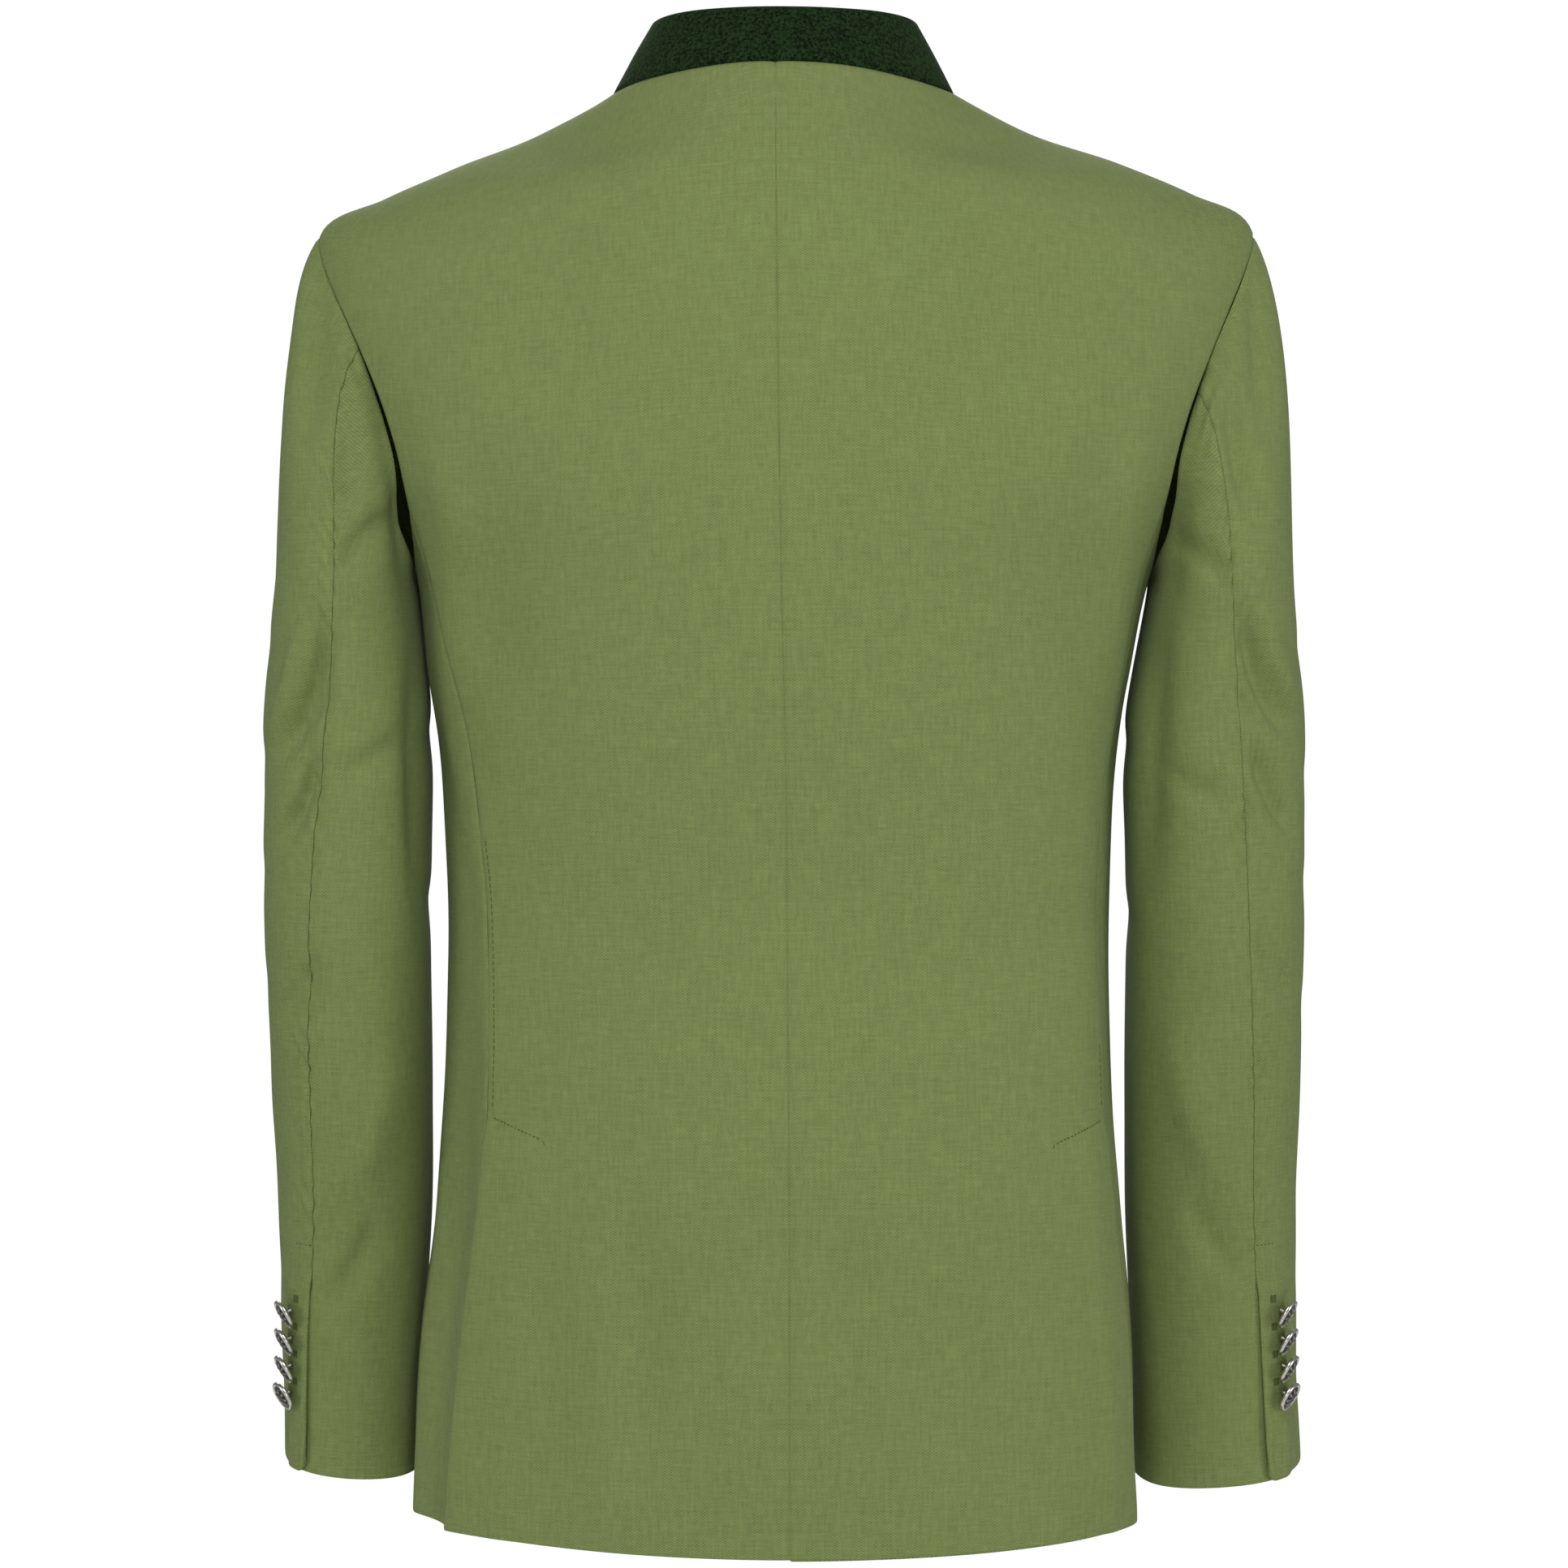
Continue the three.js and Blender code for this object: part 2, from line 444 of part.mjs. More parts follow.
// The whole sleeve as a grid round the arm. Its first column is the back seam.
function sleeveGrid(side) {
  const word = side > 0 ? "left" : "right";
  const loop = armholeLoop(side);
  const count = loop.length;
  const rings = SLEEVES[word];
  const points = loop.map(({ point }) => point);
  const box = new THREE.Box3().setFromPoints(points);
  const middle = box.getCenter(new THREE.Vector3());
  const half = box.getSize(new THREE.Vector3()).multiplyScalar(0.5);
  // Column k goes up the back to the crown, down the front, and back under the arm.
  const order = Array.from({ length: count }, (_, k) => (BACK_SEAM_COLUMN[word] - k + count) % count);
  const angles = order.map((i) => {
    const { y, z } = points[i].clone().sub(middle).divide(half);
    return THREE.MathUtils.euclideanModulo(THREE.MathUtils.radToDeg(Math.atan2(z, y)), 360);
  });
  const frontSeamColumn = angles.findIndex((angle) => angle > FRONT_SEAM_FROM);
  const [first, front] = [angles[0], angles[frontSeamColumn]];
  const ringAngle = (k, ring) => {
    const { backSeam, frontSeam } = ring;
    if (k <= frontSeamColumn) return lerp(backSeam, frontSeam, (angles[k] - first) / (front - first));
    const angle = angles[k] < first ? angles[k] + 360 : angles[k];
    return lerp(frontSeam, 360 + backSeam, (angle - front) / (360 + first - front));
  };
  const columns = order.map((i, k) => {
    const { point, normal } = loop[i];
    const inHole = middle.clone().sub(point);
    inHole.addScaledVector(normal, -inHole.dot(normal)).normalize();
    const start = point.clone().addScaledVector(inHole.add(normal), CAP_OFF);
    const onRing = (place) => {
      const ring = along(rings, place);
      return sleeveRingPoint(side, ring, ringAngle(k, ring));
    };
    const end = onRing(0);
    const reach = end.distanceTo(start);
    const leave = capDirection(side, angles[k]).multiplyScalar(reach);
    const arrive = onRing(0.3).sub(end).normalize().multiplyScalar(CAP_ARRIVE * reach);
    const cap = CAP_ROWS.map((t) => hermite(start, leave, end, arrive, t));
    return [...cap, ...ARM_ROWS.map(onRing)];
  });
  const grid = columns[0].map((_, r) => columns.map((column) => ({ point: column[r].clone() })));
  grid.forEach((row, r) =>
    row.forEach((place, k) => {
      const across = columns[(k + 1) % count][r].clone().sub(columns[(k - 1 + count) % count][r]);
      const below = columns[k][Math.min(r + 1, grid.length - 1)];
      const above = columns[k][Math.max(r - 1, 0)];
      place.normal = below.clone().sub(above).cross(across).multiplyScalar(-side).normalize();
    }),
  );
  return { grid, frontSeamColumn };
}

function hermite(from, leave, to, arrive, t) {
  const [t2, t3] = [t * t, t * t * t];
  return new THREE.Vector3()
    .addScaledVector(from, 2 * t3 - 3 * t2 + 1)
    .addScaledVector(leave, t3 - 2 * t2 + t)
    .addScaledVector(to, 3 * t2 - 2 * t3)
    .addScaledVector(arrive, t3 - t2);
}

const copy = ({ point, normal }, lift = 0) => ({
  point: point.clone().addScaledVector(normal, lift),
  normal,
});

// Top sleeve: the outer half, whose back edge laps over the under sleeve at the cuff's vent.
const CUFF_LAP = [LAP, LAP, 0.35 * LAP]; // how far its first columns stand off there
const CUFF_UNDERLAP = 0.7; // the under sleeve's underlap, as a share of the next column's width
function topSleeve({ grid, frontSeamColumn }) {
  const lift = (r, k) => (r >= VENT_ROW && k < CUFF_LAP.length ? CUFF_LAP[k] : 0);
  const kept = (row) => row.slice(0, frontSeamColumn + 1);
  const cut = grid.map((row, r) => kept(row).map((place, k) => copy(place, lift(r, k))));
  trimColumn(cut, 0, 1);
  trimColumn(cut, frontSeamColumn, frontSeamColumn - 1);
  return cut;
}

// The place on a grid's wall at height z on its first column, and then a distance in from that column.
function onWall(grid, z, inward) {
  const r = grid.findIndex(([first]) => first.point.z < z);
  const [above, below] = [grid[r - 1], grid[r]];
  const share = (above[0].point.z - z) / (above[0].point.z - below[0].point.z);
  const row = above.map(({ point, normal }, k) => ({
    point: point.clone().lerp(below[k].point, share),
    normal: normal.clone().lerp(below[k].normal, share),
  }));
  const stretch = (k) => row[k].point.distanceTo(row[k + 1].point);
  let k = 0;
  let left = inward;
  while (left > stretch(k)) left -= stretch(k++);
  const part = left / stretch(k);
  const normal = row[k].normal.lerp(row[k + 1].normal, part).normalize();
  return { point: row[k].point.lerp(row[k + 1].point, part), normal };
}

// Under sleeve: the inner half, with an underlap behind the cuff's vent.
function underSleeve({ grid, frontSeamColumn }) {
  const cut = grid.map((row) => [...row.slice(frontSeamColumn), row[0], row[1]].map((place) => copy(place)));
  const seam = cut[0].length - 2;
  for (const row of cut) row[seam + 1].point.lerpVectors(row[seam].point, row[seam + 1].point, CUFF_UNDERLAP);
  trimColumn(cut, 0, 1);
  trimColumn(cut, seam, seam - 1);
  return wall(cut, CLOTH, (r, c) => c < seam || r >= VENT_ROW);
}

// Metal button: a shallow dome with a raised rim, on a shank that stands on the cloth. Its axis is +Y.
// Its outline runs from the shank's foot round the rim to the middle of its face, as shares of its radius.
const BUTTON_COLUMNS = "out up";
const SHANK = 0.18;
const BUTTON_OUTLINE = table(BUTTON_COLUMNS, [
  [0, 0],
  [SHANK, 0],
  [SHANK, 0.36],
  [0.8, 0.4],
  [1, 0.52],
  [0.97, 0.66],
  [0.84, 0.7],
  [0.74, 0.63],
  [0.4, 0.76],
  [0, 0.8],
]);
const BUTTON_SIDES = 14;
const button = (radius) =>
  new THREE.LatheGeometry(
    BUTTON_OUTLINE.map(({ out, up }) => new THREE.Vector2(out * radius, up * radius)),
    BUTTON_SIDES,
  );

const materials = {
  linen: new THREE.MeshStandardMaterial({ color: COLOURS.linen, roughness: 0.88, metalness: 0 }),
  felt: new THREE.MeshStandardMaterial({ color: COLOURS.felt, roughness: 0.95, metalness: 0 }),
  silver: new THREE.MeshStandardMaterial({ color: COLOURS.silver, roughness: 0.35, metalness: 1 }),
};

const jacket = new THREE.Group();
jacket.name = "jacket";

function addPiece(name, geometry, material) {
  const piece = new THREE.Mesh(geometry, material);
  piece.name = name;
  jacket.add(piece);
  return piece;
}

// Sets a button on the cloth, with the foot of its shank just clear of it, facing the given way.
function addButton(name, radius, place, facing) {
  const piece = addPiece(name, button(radius), materials.silver);
  piece.quaternion.setFromUnitVectors(new THREE.Vector3(0, 1, 0), facing.clone().normalize());
  const tip = SHANK * radius * Math.sin(facing.angleTo(place.normal));
  piece.position.copy(place.point).addScaledVector(place.normal, SEAM_GAP + tip);
}

// The place between two others at which a height that falls from one to the other reaches z.
function placeAt(height, z, from, to) {
  const middle = (from + to) / 2;
  if (to - from < 1e-4) return middle;
  return height(middle) > z ? placeAt(height, z, middle, to) : placeAt(height, z, from, middle);
}

// The front's wall at the centre front, between the two rows of its grid that v lies between.
function onFrontWall(v) {
  const r = PANEL_ROWS.findIndex((row) => row > v);
  const [above, below] = [clothAt(180, PANEL_ROWS[r - 1]), clothAt(180, PANEL_ROWS[r])];
  const share = (v - PANEL_ROWS[r - 1]) / (PANEL_ROWS[r] - PANEL_ROWS[r - 1]);
  const point = above.point.lerp(below.point, share);
  return { point, normal: above.normal.lerp(below.normal, share).normalize() };
}

for (const [word, side] of [["left", 1], ["right", -1]]) {
  addPiece(`back_${word}`, backPanel(side), materials.linen);
  addPiece(`side_${word}`, sidePanel(side), materials.linen);
  addPiece(`front_${word}`, frontPanel(side), materials.linen);
  const sleeve = sleeveGrid(side);
  const top = topSleeve(sleeve);
  addPiece(`sleeve_top_${word}`, wall(top, CLOTH), materials.linen);
  addPiece(`sleeve_under_${word}`, underSleeve(sleeve), materials.linen);
  for (let i = 0; i < CUFF_BUTTON.count; i++) {
    const place = onWall(top, CUFF_BUTTON.first - CUFF_BUTTON.pitch * i, CUFF_BUTTON.fromSeam);
    const { out, back, up, lowestBack } = CUFF_BUTTON_FACING;
    const facing = new THREE.Vector3(side * out, i === CUFF_BUTTON.count - 1 ? lowestBack : back, up);
    addButton(`cuff_button_${word}_${i + 1}`, CUFF_BUTTON.radius, place, facing);
  }
}
addPiece("collar", collar(), materials.felt);
for (let i = 0; i < FRONT_BUTTON.count; i++) {
  const z = FRONT_BUTTON.first - FRONT_BUTTON.pitch * i;
  const place = onFrontWall(placeAt((v) => bodyPoint(180, v).z, z, 0, HEM));
  addButton(`front_button_${i + 1}`, FRONT_BUTTON.radius, place, place.normal);
}

export default jacket;
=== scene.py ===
# A linen trachten jacket with a felt stand collar, sewn and buttoned, in the hollow shape that it has when
# worn. Sizes are millimetres with +Z up, the front towards -Y and the wearer's left at +X. Meshes are made in
# metres.

import math

import bpy
import numpy as np
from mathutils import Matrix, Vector


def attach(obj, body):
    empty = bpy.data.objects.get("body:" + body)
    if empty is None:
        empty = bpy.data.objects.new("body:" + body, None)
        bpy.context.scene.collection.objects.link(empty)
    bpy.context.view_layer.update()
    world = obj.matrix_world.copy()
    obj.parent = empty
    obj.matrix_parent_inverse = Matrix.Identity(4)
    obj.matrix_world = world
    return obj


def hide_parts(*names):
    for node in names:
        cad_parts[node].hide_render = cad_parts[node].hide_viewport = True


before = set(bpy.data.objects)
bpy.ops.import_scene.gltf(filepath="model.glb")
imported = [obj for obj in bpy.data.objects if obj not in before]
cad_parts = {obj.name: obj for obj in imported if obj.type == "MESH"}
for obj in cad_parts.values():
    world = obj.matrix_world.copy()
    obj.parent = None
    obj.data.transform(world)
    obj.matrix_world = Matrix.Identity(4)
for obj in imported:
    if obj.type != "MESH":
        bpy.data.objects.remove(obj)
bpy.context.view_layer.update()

bl_info = {
    "name": "Linen trachten jacket",
    "version": (1, 0, 0),
    "blender": (4, 5, 0),
    "location": "3D View > Sidebar > Jacket",
    "description": "Builds a linen jacket with a felt stand collar and metal buttons",
    "category": "Add Mesh",
}

METRE = 0.001
BODY_OF_JACKET = "root"
SIDES = (("left", 1), ("right", -1))

# Cloth
CLOTH = 1.6  # linen with its interlining
FELT = 2.8  # the collar's two layers of felt
LAP = CLOTH + 0.6  # how far an overlapping edge stands off the piece below it
SEAM_GAP = 0.3
SEWN_GAP = 0.01  # between two sewn edges in the finished cloth
BUTTON_WRAP = 18  # each front reaches this far past the centre front line
GROOVE_WIDE = 1.3  # half-width of the groove along a seam
FREE_EDGE = {"turn": 0.35, "wide": 1.7}  # how an edge that isn't sewn turns in
RIM_BULGE = 0.45  # how far the rim of a free edge stands out, as a share of the cloth's thickness

# The lengths over which each piece's columns and rows are spread, about a mesh step apart
PIECE_WIDTH = {
    "back": 215,
    "side": 125,
    "front": 190,
    "wrap": 58,
    "sleeve_top": 310,
    "sleeve_under": 160,
    "collar": 460,
}
ROW_LENGTH = {
    "shoulder": 140,
    "armhole": 165,
    "to_vent": 318,
    "to_hem": 200,
    "underarm": 50,
    "cap": 190,
    "arm": 315,
    "cuff": 95,
    "collar": 50,
}

# Seeds of the slow unevenness and the puckers. A side's sign is added to each but the first two.
SEED = {
    "collar": 5,
    "centre_back": 21,
    "back": 11,
    "side": 31,
    "front": 51,
    "sleeve_top": 71,
    "sleeve_seam": 81,
    "cap": 91,
    "sleeve_under": 101,
}

# Buttons
CUFF_BUTTON = {"radius": 8, "count": 4, "pitch": 14.3, "first": -612, "from_seam": 10.4}
CUFF_BUTTON_FACING = {"out": 0.8, "back": 0.3, "up": -0.5, "lowest_back": 0.42}
FRONT_BUTTON = {"radius": 10, "count": 5, "pitch": 92, "first": -62}

# A button's form, as shares of its radius
BUTTON_UNDER = 0.36  # from the cloth to the plate
SHANK_CLEAR = 0.18  # half-width that the shank's foot needs on slanting cloth
RELIEF_END = 0.76  # where the relief on the face ends
FACE_ABOVE = 0.2  # a ring higher than this above the plate's underside is part of the face
DITCH = (0.71, 0.79)  # the dark groove inside the rim
BUTTON_PROFILE = [  # distance from the middle, and height above the plate's underside
    [0.0, 0.44], [0.06, 0.44], [0.12, 0.45], [0.18, 0.43], [0.24, 0.41], [0.3, 0.405], [0.36, 0.4],
    [0.42, 0.395], [0.48, 0.385], [0.54, 0.37], [0.6, 0.35], [0.66, 0.325], [0.71, 0.3], [0.745, 0.28],
    [0.77, 0.275], [0.8, 0.3], [0.84, 0.335], [0.89, 0.345], [0.94, 0.325], [0.98, 0.27], [1.0, 0.2],
    [0.99, 0.13], [0.95, 0.1], [0.8, 0.04], [0.5, 0.01], [0.2, 0.0],
]
SHANK_PROFILE = [[0.15, 0.0], [0.12, -0.1], [0.12, -0.3], [0.15, -0.36]]
BUTTON_AROUND = 72
PETALS = {"count": 8, "high": 0.045, "start": 0.2, "full": 0.42}
VEINS = {"count": 24, "high": 0.014, "start": 0.3, "full": 0.5}
BEADS = {"high": 0.03, "at": 0.68, "wide": 0.06}
PATTERN_FADES = (0.6, 0.72)
# How dark the silver is, from 0 polished to 1 tarnished
TARNISH = {"rim": 0.04, "face": 0.86, "per_relief": 9, "ditch": 0.5, "shank": 0.5, "middle": 0.2}

# Stitches
STITCH = {"length": 2.7, "gap": 0.8, "wide": 0.3, "high": 0.28}
TACK_STITCH = {"length": 1.7, "gap": 0.75, "wide": 0.34}
LOOSE_STITCH = {"length": 2.8, "gap": 0.3, "wide": 0.2}
SLIT_STITCH = {"length": 1.5, "gap": 0.9, "wide": 0.25}
BAR_STITCH = {"length": 2.0, "gap": 0.05, "wide": 0.5}
STITCH_SIDES = 6
STITCH_RINGS = ((-1.0, 0.3), (-0.72, 0.8), (0.0, 1.0), (0.72, 0.8), (1.0, 0.3))  # place and girth along it
TOPSTITCH_INSIDE = 4.4  # from the seam between back and side panel
TOPSTITCH_ROWS = {"left": (-372, -508), "right": (-472, -508)}
VENT_TACKS = {"left": ((143.5, -511), (118.5, -521)), "right": ((-157, -513), (-133, -523))}
LOOSE_END = (1.4, 3.4)  # how far the tack's loose end hangs inwards and down
SLIT_TACK = {"height": -578, "start": 0.5, "end": 12}
CUFF_BAR = {"above": 4.4, "count": 5, "pitch": 0.75, "start": 5.8, "end": 10.2}

# The body's sections, neck to hem, at whole numbers of v. Each is a ring through four points: centre back,
# wearer's left side, centre front and wearer's right side.
#   z_back, z_left, z_right, z_front   height of the ring at those points
#   left, right, seam                  how far it reaches to each side, and where the centre back seam runs
#   y_back, y_side, y_front            depth of the ring at the back, the sides and the front
#   full_left, full_right, full_front  0 for an ellipse, more for fuller corners
#   roll, dip                          how the ring rises to the back, and how far it sinks on its way there
#   sewn_left, sewn_right              angle round the body of the seam between back and side panel
BODY_COLUMNS = (
    "z_back z_left z_right z_front left right seam y_back y_side y_front "
    "full_left full_right full_front roll dip sewn_left sewn_right"
)
BODY_ROWS = [
    [12, 0, 0, -34, 86.8, 86.5, 4.3, 62, 0, -76, 0.05, 0.05, 0.1, 0.7, 1.5, 90, 90],
    [-12, -20, -19, -66, 126, 127, 4.2, 78, -1, -96, 0.03, 0.03, 0.06, 0.7, 15, 90, 90],
    [-43, -35.5, -33, -100, 167, 169.5, 4.0, 94, -2, -112, 0.0, 0.0, 0.0, 0.7, 8, 90, 90],
    [-80, -50.2, -47.8, -138, 201.3, 205.8, 3.6, 106, -2, -124, -0.06, -0.06, -0.07, 0.7, 4, 90, 90],
    [-122, -69, -67.2, -176, 234.5, 236.5, 3.2, 113, -2, -132, -0.13, -0.13, -0.13, 0.7, 2, 90, 90],
    [-166, -125, -125, -212, 229, 232, 2.6, 116, -2, -136, -0.02, -0.02, -0.05, 0.7, 0, 84, 85],
    [-207, -183, -183, -242, 207, 210, 2.0, 116, -3, -137, 0.08, 0.1, 0.04, 0.7, 0, 76, 79],
    [-249, -238, -238, -272, 184.5, 184, 1.3, 112, -4, -136, 0.13, 0.17, 0.09, 0.7, 0, 69, 75],
    [-296, -292, -292, -310, 178.8, 173.5, 0.2, 106, -4, -133, 0.14, 0.22, 0.12, 0.7, 0, 62.5, 72],
    [-348, -346, -346, -356, 172.6, 166.5, -0.8, 99, -4, -129, 0.12, 0.24, 0.12, 0.7, 0, 59.8, 70],
    [-402, -401, -401, -406, 170, 164.2, -1.4, 94, -3, -125, 0.1, 0.25, 0.12, 0.7, 0, 58.3, 68.5],
    [-456, -456, -456, -458, 170, 164.2, -1.8, 95, -2, -123, 0.1, 0.25, 0.12, 0.7, 0, 57.3, 68],
    [-511, -511, -511, -512, 172, 166, -2.2, 101, -1, -123, 0.1, 0.25, 0.12, 0.7, 0, 56.5, 68],
    [-566, -566, -566, -566, 175.8, 170, -2.5, 108, 0, -124, 0.1, 0.25, 0.12, 0.7, 0, 57, 69],
    [-620, -618, -619, -620, 182, 174, -2.6, 112, 0, -126, 0.1, 0.24, 0.12, 0.7, 0, 57.8, 71],
    [-672, -667, -668, -672, 185.5, 176, -2.7, 115, 0, -128, 0.1, 0.22, 0.12, 0.7, -1, 58.7, 73],
    [-722.5, -712, -713, -722, 187.2, 176.5, -2.7, 117, 0, -129, 0.1, 0.2, 0.12, 0.7, -2, 59.5, 75],
]
COLLAR_TOP_ROW = [41.2, 37.5, 37.5, 2, 66.2, 66.9, 2.5, 44, -4, -67, 0.06, 0.06, 0.1, 0.35, 0, 90, 90]
COLLAR_END = 178  # angle at which each end of the collar stops, short of the centre front
SHOULDER_TIP = 4  # the section through the ends of the shoulder seams
UNDERARM = 7  # the section through the bottoms of the armholes
SIDE_TOP = 6.4  # where the seams beside the side panel meet the armhole
BELOW_UNDERARM = 7.25
WAIST = 10
VENT_TOP = 12
VENT_START = 12.3
VENT_RECESS = 6  # how far the side panel falls back behind the vent's edge
UNDERLAP = 11  # how far the side panel reaches behind the back panel, in degrees round the body
LEFT_SLACK = {"depth": 2.5, "span": 60}  # the left side panel is flatter still beside the vent
HEM = len(BODY_ROWS) - 1
FRONT_SEWN = 127  # angle round the body of the seam between side panel and front
ARMHOLE_BACK = 26.5  # half-widths of the armhole, as angles round the body
ARMHOLE_FRONT = 33
ARMHOLE_TOP = 1.6  # 1 for an armhole as round above as below, more where it narrows upwards

# The sleeve's rings, upper arm to cuff.
#   z, y, depth             height and depth of the ring's middle, and half its depth
#   outer, inner            how far from the body's middle plane the ring's two sides lie
#   back_seam, front_seam   angles of the sleeve's two seams round the ring, from the back over the outside
#   tilt, roll              degrees by which the back of the ring is lower, and its outer side higher
SLEEVE_COLUMNS = "z y depth outer inner back_seam front_seam tilt roll"
SLEEVE_ROWS = {
    "left": [
        [-252, -4, 65, 257.8, 184, 3.5, 200, 2, 0],
        [-315, -6, 62, 262.5, 178, 9.5, 203, 2, 0],
        [-378, -9, 59, 263.3, 178.3, 17, 206, 3, 0],
        [-440, -13, 57, 262.4, 179.3, 22, 208, 3, 1],
        [-500, -20, 55, 260, 178.8, 24, 210, 3, 2],
        [-560, -30, 53.5, 257.7, 179.5, 25, 212, 4, 3],
        [-625, -41, 52.5, 256.8, 183, 29.5, 214, 5, 3.5],
        [-689.5, -52, 52, 256, 184.5, 32, 215, 8.5, 4],
    ],
    "right": [
        [-252, -4, 64, 258, 183, 3, 200, 2, 0],
        [-315, -6, 60, 262.5, 172.5, 10.5, 203, 2, 0],
        [-378, -9, 56.5, 263.5, 173, 14, 206, 3, 0],
        [-440, -13, 54, 262.8, 173.5, 18, 208, 3, 1],
        [-500, -20, 52, 262, 173.4, 21.5, 210, 3, 2],
        [-560, -30, 50.5, 261, 174, 23.5, 212, 4, 3],
        [-628, -41, 50, 262, 177.5, 26.5, 214, 5, 3.5],
        [-694, -52, 50, 265, 179, 28, 215, 8.5, 4],
    ],
}
SLEEVE_SQUARE = 0.1
LAST_RING = 7
ALLOWANCE = 6  # width of the pressed seam allowance, which shows faintly beside the sleeve's back seam
CUFF_VENT = 5.6  # ring at which the cuff's slit starts
CUFF_CORNER = 7  # radius of the top sleeve's lower corner
CUFF_LAP = 12  # how far the under sleeve reaches under the top one
CUFF_EDGE = {"lift": 2.0, "wide": 7}  # how the top sleeve's edge stands off towards the cuff's corner
ALLOWANCE_LEDGE = 0.4
# How the side panel flattens towards the vent, with span and end in degrees, and from and full in sections.
SIDE_FLAT = {"depth": 6, "span": 27, "end": 84, "from": 9.5, "full": 12}
BACK_SEAM_PLACE = {"left": 0.6, "right": 0.7}  # where down the armhole's back the sleeve's back seam starts
FRONT_SEAM_PLACE = 2.2  # and the front seam, on the way up the front

# Broad folds, with the same values as the solids: a middle, a lean, half lengths, half widths and a height.
BACK_FOLDS = [
    [172, -235, -13, 80, 22, 2.2],
    [-176, -230, 13, 80, 22, 2.2],
    [60, -420, 70, 90, 24, 1.2],
    [-70, -400, -72, 90, 24, 1.2],
    [95, -660, 8, 70, 26, 1.8],
    [-100, -655, -6, 70, 26, 1.8],
]

# Creases, placed as seen from one side of the jacket. Each runs between two points of that view.
# A row is from_h, from_z, to_h, to_z, bend, wide, height.
#   from_h, from_z, to_h, to_z   its ends: h is x as seen from the back and front, y from the left and right
#   bend                         how far its middle bows sideways
#   wide, height                 its half-width, and how far it stands out, below 0 for a trough
BODY_CREASES = {
    "back": [
        [77, -555, 73, -680, 3, 15, -3.0],
        [-33, -560, -38, -690, -4, 14, -2.4],
        [122, -585, 112, -700, 2, 13, -1.6],
        [-92, -580, -104, -700, 3, 16, -2.2],
        [20, -600, 24, -700, 0, 12, 0.9],
        [40, -450, 2, -470, 2, 5, 0.8],
        [34, -466, 4, -483, 2, 4, -0.6],
        [-6, -474, -34, -458, 2, 5, 0.5],
        [162, -150, 150, -320, 10, 16, -1.6],
        [-165, -150, -152, -310, -10, 16, -1.6],
        [176, -170, 168, -300, 6, 9, 1.2],
        [-180, -165, -170, -290, -6, 9, 1.2],
        [148, -395, 62, -436, 6, 20, -1.1],
        [-150, -410, -66, -452, -6, 20, -1.1],
        [140, -470, 70, -478, 5, 15, -0.8],
        [-138, -480, -72, -500, -5, 15, -0.8],
        [60, -70, 16, -96, 5, 16, -0.8],
        [-64, -72, -18, -100, -5, 16, -0.8],
        [150, -95, 96, -132, 8, 20, -0.9],
        [-150, -92, -92, -128, -8, 20, -0.9],
    ],
    "front": [
        [150, -160, 128, -300, -9, 17, -2.2],
        [-152, -165, -126, -290, 9, 17, -2.2],
        [172, -190, 152, -300, -6, 10, 1.6],
        [-174, -185, -150, -310, 6, 10, 1.5],
        [120, -395, 40, -352, 5, 18, -1.3],
        [-118, -400, -44, -360, -5, 18, -1.3],
        [105, -560, 98, -680, 3, 16, -1.8],
        [-98, -570, -104, -690, -3, 16, -1.7],
        [60, -590, 64, -690, 0, 13, 1.1],
        [-58, -600, -56, -692, 0, 13, 1.0],
        [130, -85, 80, -140, 6, 18, -1.1],
        [-128, -88, -84, -138, -6, 18, -1.1],
    ],
    "left": [
        [-30, -300, -56, -420, 4, 15, -1.6],
        [20, -320, 40, -430, -4, 14, -1.3],
        [-8, -560, -14, -690, 2, 14, 1.3],
        [34, -580, 40, -690, 2, 12, -1.3],
    ],
    "right": [
        [-34, -310, -52, -430, 4, 15, -1.5],
        [24, -310, 38, -440, -4, 14, -1.4],
        [-4, -570, -12, -690, 2, 14, 1.2],
        [30, -590, 38, -690, 2, 12, -1.2],
    ],
}
